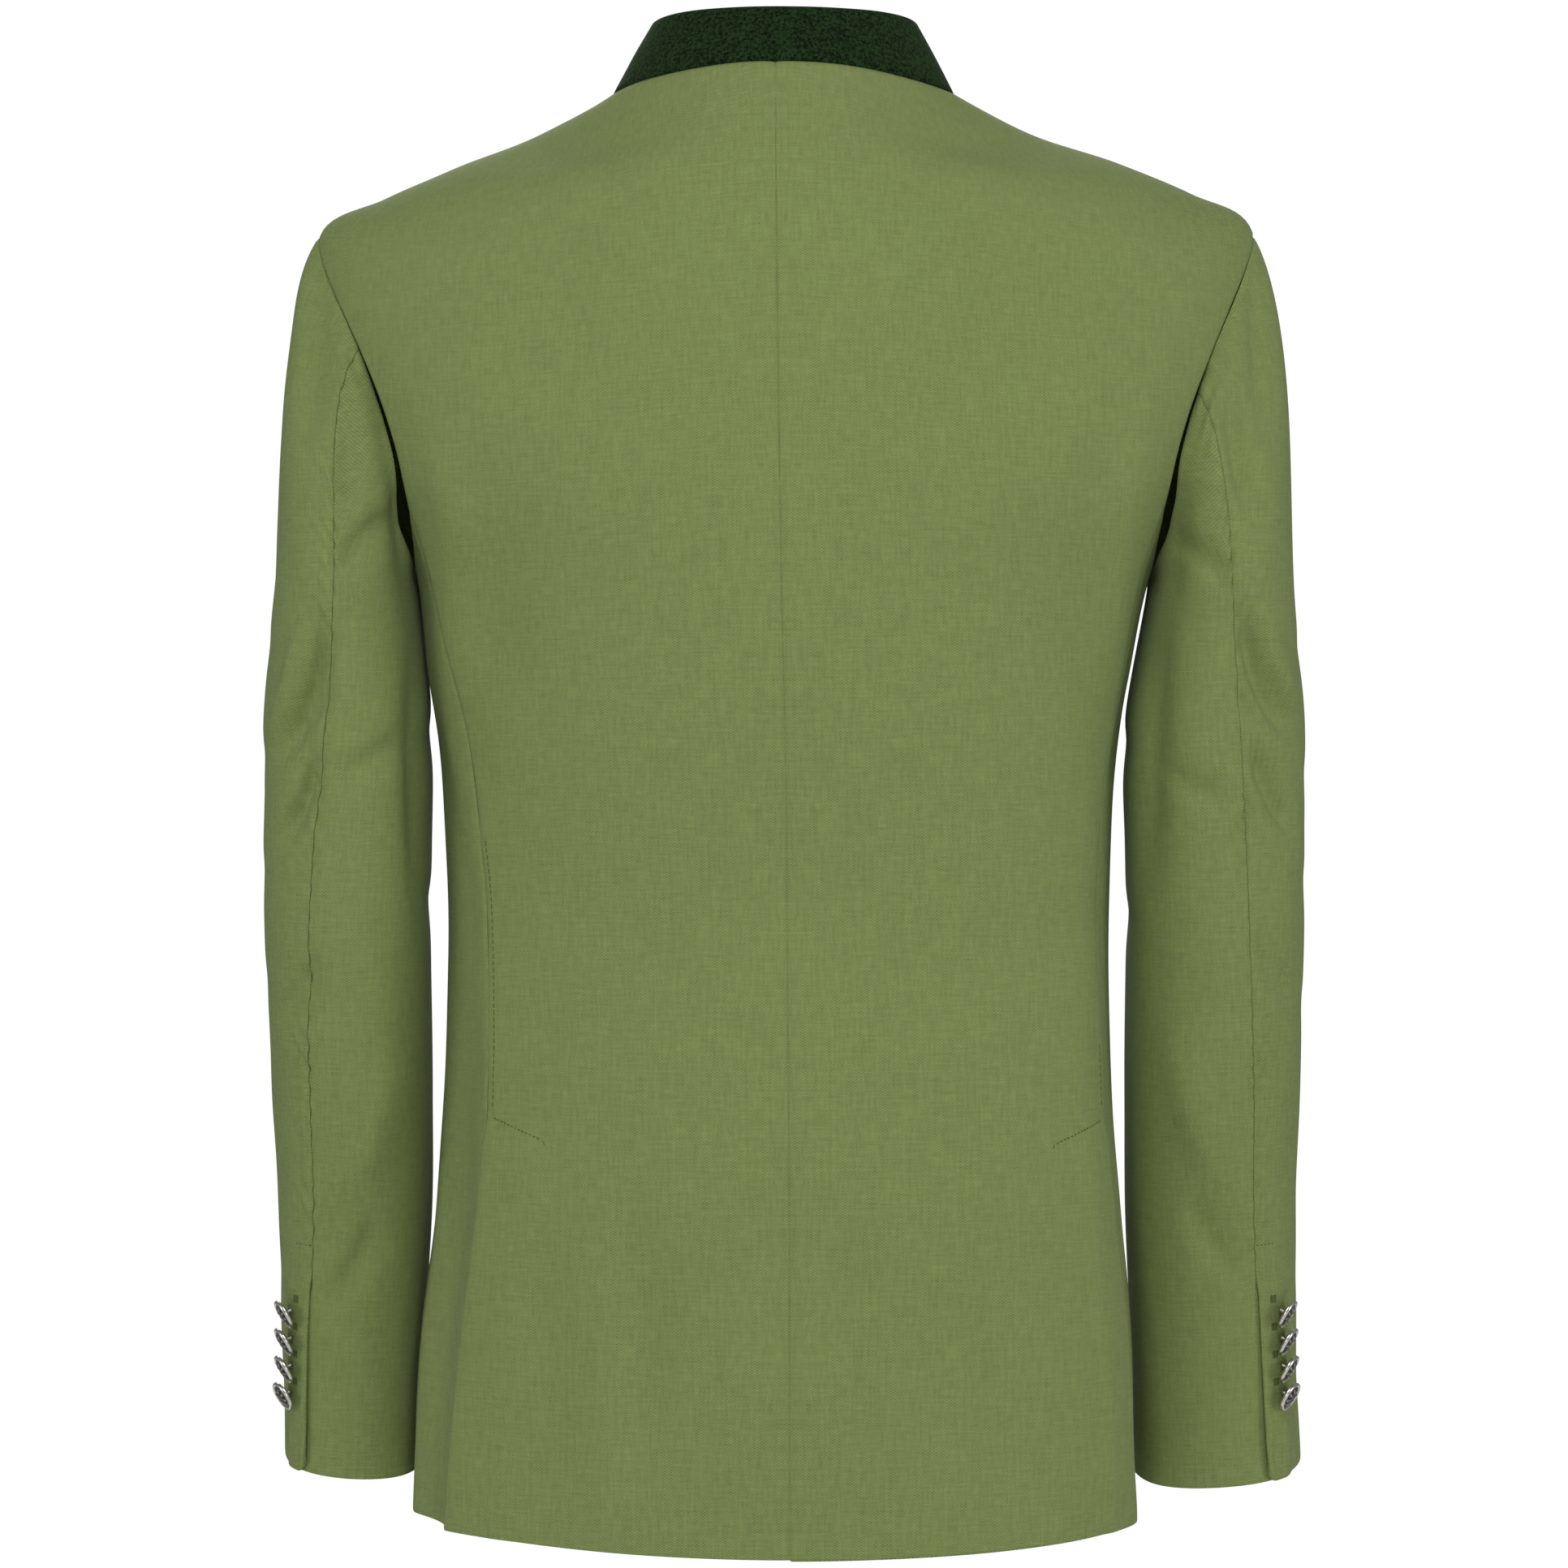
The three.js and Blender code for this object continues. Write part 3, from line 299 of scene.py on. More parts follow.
SLEEVE_CREASES = {
    "left": {
        "back": [
            [208, -128, 192, -190, 1, 10, -3.8],
            [192, -190, 182, -262, 1, 9, -5.0],
            [181, -258, 181, -400, -1, 8, -4.3],
            [236, -84, 238, -176, 2, 8, -3.1],
            [218, -168, 220, -212, 1, 6, -2.9],
            [229, -268, 252, -332, 4, 7, -6.2],
            [241, -272, 261, -328, 3, 5, 2.6],
            [226, -298, 236, -314, 1, 4, -2.6],
            [233, -332, 253, -374, 3, 6, -5.0],
            [194, -212, 220, -240, -3, 7, -2.9],
            [191, -322, 222, -340, 3, 7, -2.4],
            [234, -432, 255, -462, 3, 7, -2.9],
            [196, -480, 214, -545, 3, 10, 1.9],
            [206, -566, 230, -606, 3, 8, -1.9],
        ],
        "left": [
            [-44, -235, 30, -282, 6, 12, -0.5],
            [-50, -300, 26, -338, 6, 12, -0.7],
            [-58, -362, 20, -392, 5, 12, -0.6],
            [-40, -430, 12, -446, 3, 11, -0.4],
            [-10, -120, -4, -230, 3, 14, -0.3],
            [-60, -520, -20, -600, 4, 13, -0.4],
            [-90, -590, -62, -670, 3, 12, -0.3],
        ],
        "front": [
            [190, -215, 236, -262, 5, 12, -3.0],
            [184, -272, 238, -322, 5, 12, -3.6],
            [184, -330, 240, -372, 5, 12, -3.3],
            [188, -392, 238, -424, 4, 12, -2.5],
            [192, -300, 236, -345, 4, 8, 2.0],
            [196, -480, 232, -510, 4, 12, -1.6],
            [200, -600, 230, -650, 3, 12, -1.4],
        ],
        "right": [
            [-60, -300, 20, -326, 4, 12, -1.1],
            [-70, -380, 10, -410, 4, 12, -1.0],
            [-80, -520, -40, -640, 3, 12, -0.8],
        ],
    },
    "right": {
        "back": [
            [-208, -128, -194, -184, -1, 9, -3.1],
            [-194, -186, -185, -258, -1, 9, -3.8],
            [-182, -258, -180, -390, 1, 8, -3.6],
            [-238, -86, -240, -172, -2, 8, -2.8],
            [-222, -150, -231, -212, -3, 7, -3.6],
            [-227, -262, -251, -320, -4, 7, -6.0],
            [-240, -266, -262, -316, -3, 5, 2.5],
            [-225, -300, -236, -318, -1, 4, -2.6],
            [-234, -330, -256, -370, -3, 6, -4.6],
            [-192, -226, -220, -250, 3, 7, -2.4],
            [-190, -340, -222, -356, -3, 7, -2.2],
            [-236, -424, -257, -450, -3, 7, -2.6],
            [-194, -470, -214, -540, -3, 10, 1.8],
            [-204, -556, -230, -598, -3, 8, -1.9],
        ],
        "right": [
            [-46, -240, 28, -286, 6, 12, -0.6],
            [-52, -308, 24, -344, 6, 12, -0.6],
            [-56, -372, 18, -398, 5, 12, -0.5],
            [-42, -440, 10, -458, 3, 11, -0.4],
            [-12, -122, -2, -232, 3, 14, -0.3],
            [-62, -528, -24, -606, 4, 13, -0.4],
            [-88, -596, -64, -676, 3, 12, -0.3],
        ],
        "front": [
            [-190, -220, -238, -266, -5, 12, -3.0],
            [-184, -280, -240, -326, -5, 12, -3.4],
            [-182, -338, -240, -380, -5, 12, -3.3],
            [-186, -400, -238, -432, -4, 12, -2.4],
            [-192, -308, -236, -350, -4, 8, 2.0],
            [-196, -488, -232, -520, -4, 12, -1.6],
            [-200, -606, -232, -654, -3, 12, -1.4],
        ],
        "left": [
            [-62, -306, 18, -330, 4, 12, -1.1],
            [-70, -386, 8, -416, 4, 12, -1.0],
            [-82, -526, -42, -646, 3, 12, -0.8],
        ],
    },
}
VIEWS = {"back": (0, 1, 0), "front": (0, -1, 0), "left": (1, 0, 0), "right": (-1, 0, 0)}

# Cloth and metal
# The yarns' unevenness: how often a noise repeats along and across the weft, in each metre
YARN_NOISE = {
    "level": (160.0, 1500.0),
    "upright": (900.0, 120.0),
    "streaks": (45.0, 900.0),
    "heather": (520.0, 38.0),
}
YARN_SWAY = {"scale": 160.0, "reach": 0.0011}
STREAKS_SHARE = 0.55  # of the slubs, and the rest is heather
# The weave's height goes into the colour too: raised places paler and low places darker, as painted shade
# between the yarns.
LINEN_TONE = {"pale": 1.56, "dark": 0.44, "weave": 0.56, "height": 0.42, "cloud": 0.1, "slub": 0.45}
FELT_NOISE = {"fibre": 1400.0, "soft": 120.0, "fluff": 620.0}
FELT_TONE = {"pale": 2.1, "dark": 0.2, "fluff": 4.5, "cloud": 0.8}
SILVER_ROUGHNESS = (0.22, 0.57)  # where it is polished and where it is tarnished
THREAD_TONE = {"pale": 1.4, "dark": 0.6}

# The stage, in metres and watts. Each light has a place, a width and height, and a power.
LIGHTS = {
    "above camera": ((0.05, 1.9, 1.2), (1.2, 0.8), 29),
    "below camera": ((0.0, 3.2, -0.6), (1.6, 1.0), 12),
    "left side": ((2.8, 1.3, -0.2), (1.0, 1.6), 17),
    "right side": ((-2.8, 1.3, -0.2), (1.0, 1.6), 23),
    "front side": ((0.2, -2.4, 1.2), (1.4, 1.0), 44),
}
LIGHTS_AIM = (0.0, 0.0, -0.35)
AMBIENT = 0.22  # strength of the white surroundings as light
BACKGROUND = 1.02  # and as the camera sees them
FLOOR_RINGS = [(1.3, 0.0), (2.3, 0.0), (2.5, 0.004), (2.6, 0.02), (2.6, -0.02)]  # radius and height
FLOOR_DROP = 1.35
FLOOR_AROUND = 96
CAMERA_DISTANCE = 2.9
CAMERA_HEIGHT = -0.346
PHOTO_WIDTH = 0.79212  # what the photograph spans at the jacket's middle
SENSOR = 36.0


class JacketSizes(bpy.types.PropertyGroup):
    """Sizes that a maker would change"""

    cell: bpy.props.FloatProperty(
        name="Mesh step",
        description="Distance between neighbouring points of the cloth",
        default=0.0032,
        unit="LENGTH",
    )
    groove: bpy.props.FloatProperty(
        name="Seam groove",
        description="How far the cloth turns in at a seam",
        default=0.0006,
        unit="LENGTH",
    )
    pucker: bpy.props.FloatProperty(
        name="Seam pucker",
        description="How far the cloth ripples beside a sleeve seam",
        default=0.0011,
        unit="LENGTH",
    )
    crease: bpy.props.FloatProperty(
        name="Crease strength",
        description="Scales the height of every crease",
        default=1.5,
        subtype="FACTOR",
    )
    weft_pitch: bpy.props.FloatProperty(
        name="Yarn pitch across",
        description="Distance between neighbouring upright yarns",
        default=0.00105,
        unit="LENGTH",
        precision=5,
    )
    warp_pitch: bpy.props.FloatProperty(
        name="Yarn pitch down",
        description="Distance between neighbouring level yarns",
        default=0.00064,
        unit="LENGTH",
        precision=5,
    )


class JacketColours(bpy.types.PropertyGroup):
    """Colours that a maker would change"""

    linen: bpy.props.FloatVectorProperty(
        name="Linen",
        description="Mean colour of the olive linen",
        default=(0.186, 0.236, 0.077),
        subtype="COLOR",
    )
    felt: bpy.props.FloatVectorProperty(
        name="Felt",
        description="Mean colour of the collar's felt",
        default=(0.0062, 0.0165, 0.0041),
        subtype="COLOR",
    )
    silver: bpy.props.FloatVectorProperty(
        name="Silver",
        description="Colour of the polished parts of the buttons",
        default=(0.7, 0.68, 0.64),
        subtype="COLOR",
    )
    tarnish: bpy.props.FloatVectorProperty(
        name="Tarnish",
        description="Colour in the hollows of the buttons",
        default=(0.028, 0.025, 0.021),
        subtype="COLOR",
    )
    thread: bpy.props.FloatVectorProperty(
        name="Thread",
        description="Colour of the sewing thread",
        default=(0.075, 0.098, 0.02),
        subtype="COLOR",
    )


def table(columns, rows):
    """Rows of numbers as one array for each column's name."""
    values = np.array(rows, dtype=float)
    return {name: values[:, k] for k, name in enumerate(columns.split())}


BODY = table(BODY_COLUMNS, BODY_ROWS)
COLLAR_TOP = {name: values[0] for name, values in table(BODY_COLUMNS, [COLLAR_TOP_ROW]).items()}
SLEEVES = {word: table(SLEEVE_COLUMNS, rows) for word, rows in SLEEVE_ROWS.items()}


def along(rows, place):
    """The table's values at places between its rows, on a smooth curve through them."""
    last = len(next(iter(rows.values()))) - 1
    at = np.clip(np.asarray(place, dtype=float), 0, last)
    i = np.minimum(np.floor(at).astype(int), last - 1)
    t = at - i
    mixed = {}
    for name, values in rows.items():
        a, b, c, d = (values[np.clip(i + k, 0, last)] for k in (-1, 0, 1, 2))
        mixed[name] = b + 0.5 * t * (c - a + t * (2 * a - 5 * b + 4 * c - d + t * (3 * (b - c) + d - a)))
    return mixed


def smooth(value, start, end):
    t = np.clip((np.asarray(value, dtype=float) - start) / (end - start), 0, 1)
    return t * t * (3 - 2 * t)


def lerp(a, b, t):
    return a + (b - a) * t


def unit(vectors):
    return vectors / np.maximum(np.linalg.norm(vectors, axis=-1, keepdims=True), 1e-9)


def stacked(x, y, z):
    return np.stack(np.broadcast_arrays(x, y, z), axis=-1).astype(float)


def ring_point(ring, angle):
    """A point of a body ring. The angle is 0 at the centre back, 90 at the wearer's left and 180 at the
    centre front."""
    s, c = np.sin(np.radians(angle)), np.cos(np.radians(angle))
    on_left, at_back = s >= 0, c >= 0
    middle = np.where(at_back, ring["seam"], 0)
    side = np.where(on_left, ring["left"], -ring["right"])
    full = np.where(at_back, np.where(on_left, ring["full_left"], ring["full_right"]), ring["full_front"])
    z_side = np.where(on_left, ring["z_left"], ring["z_right"])
    y_end = np.where(at_back, ring["y_back"], ring["y_front"])
    z_end = np.where(at_back, ring["z_back"], ring["z_front"])
    dip = np.where(at_back, ring["dip"] * (2 * s * c) ** 2, 0)
    return stacked(
        middle + (side - middle) * np.abs(s) * (1 + full * c * c),
        ring["y_side"] + (y_end - ring["y_side"]) * np.abs(c) * (1 + full * s * s),
        z_side + (z_end - z_side) * np.abs(c) ** (2 * ring["roll"]) - dip,
    )


def body_point(angle, v):
    return ring_point(along(BODY, v), angle)


def body_normal(angle, v):
    across = body_point(angle + 0.5, v) - body_point(angle - 0.5, v)
    low = np.minimum(v + 0.02, HEM)
    down = body_point(angle, low) - body_point(angle, np.maximum(low - 0.04, 0))
    return unit(np.cross(across, down))


def cloth_at(angle, v, lift=0.0):
    """Outer points of the body's cloth and the normals there."""
    angle, v = np.broadcast_arrays(np.asarray(angle, float), np.asarray(v, float))
    point, normal = body_point(angle, v), body_normal(angle, v)
    raised = np.zeros(angle.shape)
    for x, z, slant, long, wide, height in BACK_FOLDS:
        lean = math.radians(slant)
        dx, dz = point[..., 0] - x, point[..., 2] - z
        along_fold = (dx * math.sin(lean) + dz * math.cos(lean)) / long
        across_fold = (dx * math.cos(lean) - dz * math.sin(lean)) / wide
        raised += height * np.exp(-(along_fold**2) - across_fold**2)
    raised *= smooth(np.cos(np.radians(angle)), 0, 0.15)
    return point + normal * (raised + lift)[..., None], normal


def armhole_v(q):
    return SHOULDER_TIP + (UNDERARM - SHOULDER_TIP) * (1 - np.cos(np.pi * q)) / 2


def armhole_q(v):
    share = np.clip((np.asarray(v, float) - SHOULDER_TIP) / (UNDERARM - SHOULDER_TIP), 0, 1)
    return np.arccos(1 - 2 * share) / np.pi


SIDE_TOP_Q = float(armhole_q(SIDE_TOP))


def armhole_half(q, width):
    """Half the armhole's width, as an angle round the body."""
    q = np.asarray(q, dtype=float)
    return width * np.sin(np.pi * np.clip(q, 0, 1)) ** np.where(q < 0.5, ARMHOLE_TOP, 1)


def panel_edge(v, half_width, sewn, sign):
    """The angle at which a body panel ends beside the shoulder seam, the armhole and the side panel."""
    q = armhole_q(np.minimum(v, SIDE_TOP))
    beside_armhole = 90 + sign * armhole_half(q, half_width)
    joint = 90 + sign * armhole_half(SIDE_TOP_Q, half_width)
    below = lerp(joint, sewn, smooth(v, SIDE_TOP, UNDERARM + 1))
    return np.where(v <= SIDE_TOP, beside_armhole, below)


def back_edge(side, v):
    return panel_edge(v, ARMHOLE_BACK, along(BODY, v)["sewn_left" if side > 0 else "sewn_right"], -1)


def front_edge(v):
    return panel_edge(v, ARMHOLE_FRONT, FRONT_SEWN, 1)


def column_angle(share, whole, actual, v):
    """Column angles that crowd together only beside the armhole."""
    crowding = 1 + 1.4 * (1 - smooth(v, UNDERARM - 2, UNDERARM + 0.5))
    return whole * share - (whole - actual) * share**crowding


def shares(length, cell, fine=(0.0, 0.7, 1.7), both=True):
    """Places from 0 to 1 along a length in millimetres: about a cell apart, closer beside its ends."""
    count = max(int(round(length / cell)), 4)
    inner = np.linspace(fine[-1] + cell, length - (fine[-1] + cell if both else 0), count)
    start = np.array(fine)
    end = length - start[::-1] if both else []
    return np.concatenate([start, inner, end]) / length


def span(start, end, count):
    return np.linspace(start, end, count + 1)


def panel_rows(cell):
    """The rows of a body panel, as places v, with one through each corner of its outline."""
    shoulder = span(0, SHOULDER_TIP, int(ROW_LENGTH["shoulder"] / cell))
    beside = armhole_v(SIDE_TOP_Q * span(0, 1, int(ROW_LENGTH["armhole"] / cell))[1:] ** 1.1)
    to_vent = span(SIDE_TOP, VENT_START, int(ROW_LENGTH["to_vent"] / cell))[1:]
    to_hem = VENT_START + (HEM - VENT_START) * (1 - shares(ROW_LENGTH["to_hem"], cell)[::-1])[1:]
    return np.concatenate([shoulder, beside, to_vent, to_hem])


def wander(place, seed, longest=70.0):
    """An uneven wave between about -1 and 1 along a length in millimetres."""
    random = np.random.default_rng(seed)
    total = np.zeros(np.shape(place))
    for octave in range(4):
        period = longest / 1.7**octave
        total = total + np.sin(2 * np.pi * place / period + random.uniform(0, 6.28)) / 1.3**octave
    return total / 2.2


def crease_lift(points, normals, creases):
    """How far the listed creases lift the cloth, as seen from each side."""
    lift = np.zeros(points.shape[:-1])
    for view, rows in creases.items():
        facing = smooth(normals @ np.array(VIEWS[view], dtype=float), 0.05, 0.6)
        h = points[..., 0] if view in ("back", "front") else points[..., 1]
        z = points[..., 2]
        for from_h, from_z, to_h, to_z, bend, wide, height in rows:
            long = math.hypot(to_h - from_h, to_z - from_z)
            dh, dz = (to_h - from_h) / long, (to_z - from_z) / long
            t = ((h - from_h) * dh + (z - from_z) * dz) / long
            across = (h - from_h) * dz - (z - from_z) * dh - bend * 4 * np.clip(t * (1 - t), -0.3, 1)
            width = wide * np.where(across > 0, 1.2, 0.7)
            ends = smooth(t, -0.2, 0.3) * smooth(-t, -1.2, -0.7)
            lift += facing * height * ends * np.exp(-((across / width) ** 2))
    return lift


def from_edges(points):
    """Distances over the cloth from the grid's first and last column, and from its first and last row."""
    across = np.linalg.norm(np.diff(points, axis=1), axis=-1)
    down = np.linalg.norm(np.diff(points, axis=0), axis=-1)
    left = np.concatenate([np.zeros((len(points), 1)), np.cumsum(across, axis=1)], axis=1)
    top = np.concatenate([np.zeros((1, points.shape[1])), np.cumsum(down, axis=0)], axis=0)
    return {"left": left, "right": left[:, -1:] - left, "top": top, "bottom": top[-1:] - top}


def seam_lift(distances, sewn, groove):
    """Turns the cloth in beside each sewn edge, and rounds each free one."""
    lift = np.zeros(distances["left"].shape)
    for edge in distances:
        if edge in sewn:
            lift -= groove * np.exp(-((distances[edge] / GROOVE_WIDE) ** 2))
        else:
            lift -= FREE_EDGE["turn"] * np.clip(1 - distances[edge] / FREE_EDGE["wide"], 0, 1) ** 2
    return lift


def pucker_lift(distance, place, seed, height, period=11.5, reach=10.0):
    """Short ripples beside a seam, uneven along it."""
    phase = 2 * np.pi * place / period + 2.2 * wander(place, seed, 160)
    strength = 0.65 + 0.5 * wander(place, seed + 1, 120)
    return height * strength * np.sin(phase) * np.exp(-((distance / reach) ** 1.5))


def round_corner(points, distances, radius):
    """Rounds the corner between the grid's first column and its last row."""
    inset = np.clip(radius - distances["left"], 0, radius)
    rise = radius - np.sqrt(radius**2 - inset**2)
    points[..., 2] += rise * np.clip(1 - distances["bottom"] / (3 * radius), 0, 1)


def undulation(distances, seed, height=0.5):
    """The slow unevenness of hanging cloth."""
    random = np.random.default_rng(seed)
    total = np.zeros(distances["left"].shape)
    for _ in range(7):
        lean = random.uniform(0, np.pi)
        period = random.uniform(55, 150)
        place = distances["left"] * math.cos(lean) + distances["top"] * math.sin(lean)
        total += np.sin(2 * np.pi * place / period + random.uniform(0, 6.28))
    return height * total / 3.5


GRIDS = {}


def shell_mesh(name, outer, inner, uv, active, bulge):
    """A closed shell of cloth from its outer and inner points, with a middle line round its rim that stands
    out by bulge. Points that no face uses are left out."""
    rows, columns = outer.shape[:2]
    total = rows * columns
    index = np.arange(total).reshape(rows, columns)
    a, b = index[:-1, :-1][active], index[1:, :-1][active]
    d, e = index[1:, 1:][active], index[:-1, 1:][active]
    faces = [np.stack([a, b, d, e], axis=1), np.stack([a, e, d, b], axis=1) + total]
    padded = np.pad(active, 1)
    sides = [
        (active & ~padded[1:-1, :-2], index[:-1, :-1], index[1:, :-1]),
        (active & ~padded[2:, 1:-1], index[1:, :-1], index[1:, 1:]),
        (active & ~padded[1:-1, 2:], index[1:, 1:], index[:-1, 1:]),
        (active & ~padded[:-2, 1:-1], index[:-1, 1:], index[:-1, :-1]),
    ]
    rim = np.concatenate([np.stack([p[mask], q[mask]], axis=1) for mask, p, q in sides])
    flat_outer, flat_inner = outer.reshape(-1, 3), inner.reshape(-1, 3)
    on_rim = np.unique(rim)
    middle_of = {old: 2 * total + k for k, old in enumerate(on_rim)}
    outward = np.zeros((total, 3))
    normal = unit(flat_outer - flat_inner)
    for p, q in rim:
        push = np.cross(normal[p] + normal[q], flat_outer[p] - flat_outer[q])
        outward[p] += push
        outward[q] += push
    centre = (flat_outer + flat_inner) / 2
    middles = centre[on_rim] + unit(outward[on_rim]) * bulge.reshape(-1, 1)[on_rim]
    middle = np.array([[middle_of[p], middle_of[q]] for p, q in rim])
    faces.append(np.stack([rim[:, 0], middle[:, 0], middle[:, 1], rim[:, 1]], axis=1))
    faces.append(np.stack([middle[:, 0], rim[:, 0] + total, rim[:, 1] + total, middle[:, 1]], axis=1))
    points = np.concatenate([flat_outer, flat_inner, middles])
    places = np.concatenate([uv.reshape(-1, 2), uv.reshape(-1, 2), uv.reshape(-1, 2)[on_rim]])
    faces = np.concatenate(faces)
    if enclosed(points, faces) < 0:
        faces = faces[:, ::-1]
    used = np.unique(faces)
    renumber = np.zeros(len(points), dtype=int)
    renumber[used] = np.arange(len(used))
    piece = mesh_object(name, points[used], renumber[faces].tolist())
    layer = piece.data.uv_layers.new(name="cloth")
    corner = np.empty(len(piece.data.loops), dtype=int)
    piece.data.loops.foreach_get("vertex_index", corner)
    layer.data.foreach_set("uv", (places[used][corner] * METRE).ravel())
    return piece


def enclosed(points, faces):
    """Six times the volume that four-sided faces enclose, below 0 when they face inwards."""
    a, b, c, d = (points[faces[:, k]] for k in range(4))
    first = np.einsum("ij,ij->i", a, np.cross(b, c))
    second = np.einsum("ij,ij->i", a, np.cross(c, d))
    return float((first + second).sum())


def mesh_object(name, points, faces):
    """A smooth-shaded object from points in millimetres."""
    mesh = bpy.data.meshes.new(name)
    mesh.from_pydata((points * METRE).tolist(), [], faces)
    mesh.shade_smooth()
    mesh.update()
    piece = bpy.data.objects.new(name, mesh)
    bpy.context.scene.collection.objects.link(piece)
    return piece


def join_jacket(piece, material, slot, *nodes):
    """Gives a piece its material, in the place of its solids. slot is not used."""
    piece.data.materials.append(material)
    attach(piece, BODY_OF_JACKET)
    if nodes:
        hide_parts(*nodes)


def cloth_piece(name, base, normals, lift, sewn, grain, active=None, thickness=CLOTH):
    """Makes one cut piece of cloth as a closed shell. grain is the row and the column
    of the grid that the weave's level and upright yarns follow."""
    rows, columns = base.shape[:2]
    if active is None:
        active = np.ones((rows - 1, columns - 1), dtype=bool)
    distances = from_edges(base)
    outer = base + normals * lift[..., None]
    inner = outer - normals * thickness
    bulge = np.full((rows, columns), RIM_BULGE * thickness)
    for edge in sewn:
        bulge[distances[edge] < 0.01] = 0
    level, upright = grain
    across = distances["left"] - distances["left"][:, [upright]]
    down = distances["top"] - distances["top"][[level], :]
    uv = np.stack([across, -down], axis=-1)
    piece = shell_mesh(name, outer, inner, uv, active, bulge)
    GRIDS[name] = {"outer": outer, "normals": normals, **distances}
    return piece


def linen_piece(node, base, normals, lift, sewn, grain, active=None):
    """One cut piece of linen, in the place of its solid."""
    piece = cloth_piece(f"{node}_cloth", base, normals, lift, sewn, grain, active)
    join_jacket(piece, linen_material(), "linen", node)


def wired(tree, kind, sockets=None, **settings):
    """A node with its settings, whose sockets take values or other nodes' outputs."""
    node = tree.nodes.new(kind)
    for name, value in settings.items():
        setattr(node, name, value)
    for name, value in (sockets or {}).items():
        if isinstance(value, bpy.types.NodeSocket):
            tree.links.new(value, node.inputs[name])
        else:
            node.inputs[name].default_value = value
    return node


def math_node(tree, operation, a, b=0.0):
    return wired(tree, "ShaderNodeMath", {0: a, 1: b}, operation=operation).outputs[0]


def scaled(tree, value, factor, offset=0.0):
    """A value times a factor, plus an offset."""
    sockets = {0: value, 1: factor, 2: offset}
    return wired(tree, "ShaderNodeMath", sockets, operation="MULTIPLY_ADD").outputs[0]


def around_zero(tree, value, factor):
    """Noise moved from 0 to 1 to both sides of zero, and scaled."""
    return scaled(tree, value, factor, -0.5 * factor)


def mixed_colour(tree, factor, a, b):
    node = wired(tree, "ShaderNodeMix", data_type="RGBA")
    for socket, value in ((node.inputs[0], factor), (node.inputs[6], a), (node.inputs[7], b)):
        if isinstance(value, bpy.types.NodeSocket):
            tree.links.new(value, socket)
        else:
            socket.default_value = value
    return node.outputs[2]


def noise(tree, place, scale, detail=2.0, roughness=0.5):
    sockets = {"Vector": place, "Scale": scale, "Detail": detail, "Roughness": roughness}
    return wired(tree, "ShaderNodeTexNoise", sockets).outputs["Fac"]


def stretched(tree, place, x, y, z=1.0):
    return wired(tree, "ShaderNodeVectorMath", {0: place, 1: (x, y, z)}, operation="MULTIPLY").outputs[0]


def new_group(name, takes, gives):
    tree = bpy.data.node_groups.new(name, "ShaderNodeTree")
    for label, kind, default in takes:
        socket = tree.interface.new_socket(label, in_out="INPUT", socket_type=kind)
        if default is not None:
            socket.default_value = default
    for label, kind in gives:
        tree.interface.new_socket(label, in_out="OUTPUT", socket_type=kind)
    return tree, tree.nodes.new("NodeGroupInput").outputs, tree.nodes.new("NodeGroupOutput").inputs


def weave_group():
    """Plain weave: level and upright yarns that pass over each other in turn, uneven in width and tone."""
    name = "Plain weave"
    if name in bpy.data.node_groups:
        return bpy.data.node_groups[name]
    takes = [
        ("Place", "NodeSocketVector", None),
        ("Pitch across", "NodeSocketFloat", 0.00105),
        ("Pitch down", "NodeSocketFloat", 0.00064),
        ("Slub", "NodeSocketFloat", 0.5),
    ]
    gives = [("Height", "NodeSocketFloat"), ("Tone", "NodeSocketFloat")]
    tree, take, give = new_group(name, takes, gives)
    place = take["Place"]
    parts = wired(tree, "ShaderNodeSeparateXYZ", {0: place})
    sway = around_zero(tree, noise(tree, place, YARN_SWAY["scale"]), YARN_SWAY["reach"])
    across = math_node(tree, "DIVIDE", math_node(tree, "ADD", parts.outputs[0], sway), take["Pitch across"])
    down = math_node(tree, "DIVIDE", math_node(tree, "ADD", parts.outputs[1], sway), take["Pitch down"])
    waves = [math_node(tree, "COSINE", scaled(tree, yarn, math.pi)) for yarn in (across, down)]
    over = scaled(tree, math_node(tree, "MULTIPLY", *waves), 0.5, 0.5)
    uneven = {
        word: noise(tree, stretched(tree, place, *scales), 1.0, 1.0) for word, scales in YARN_NOISE.items()
    }
    under = math_node(tree, "SUBTRACT", 1.0, over)
    tone = math_node(tree, "MULTIPLY", over, uneven["level"])
    tone = math_node(tree, "ADD", tone, math_node(tree, "MULTIPLY", under, uneven["upright"]))
    heather = scaled(tree, uneven["heather"], 1 - STREAKS_SHARE, -0.5)
    slub = math_node(tree, "ADD", scaled(tree, uneven["streaks"], STREAKS_SHARE), heather)
    slub = math_node(tree, "MULTIPLY", slub, take["Slub"])
    tree.links.new(math_node(tree, "ADD", over, scaled(tree, slub, 0.8)), give["Height"])
    tree.links.new(math_node(tree, "ADD", tone, slub), give["Tone"])
    return tree


def new_material(name, values):
    """A material whose shader's sockets have these constant values."""
    material = bpy.data.materials.new(name)
    material.use_nodes = True
    shader = material.node_tree.nodes["Principled BSDF"]
    for socket, value in values.items():
        shader.inputs[socket].default_value = value
    return material, material.node_tree, shader


def shades(tree, factor, base, tone):
    """A base colour between its dark and its pale shade."""
    dark, pale = np.array(base) * tone["dark"], np.array(base) * tone["pale"]
    return mixed_colour(tree, factor, (*dark, 1.0), (*pale, 1.0))


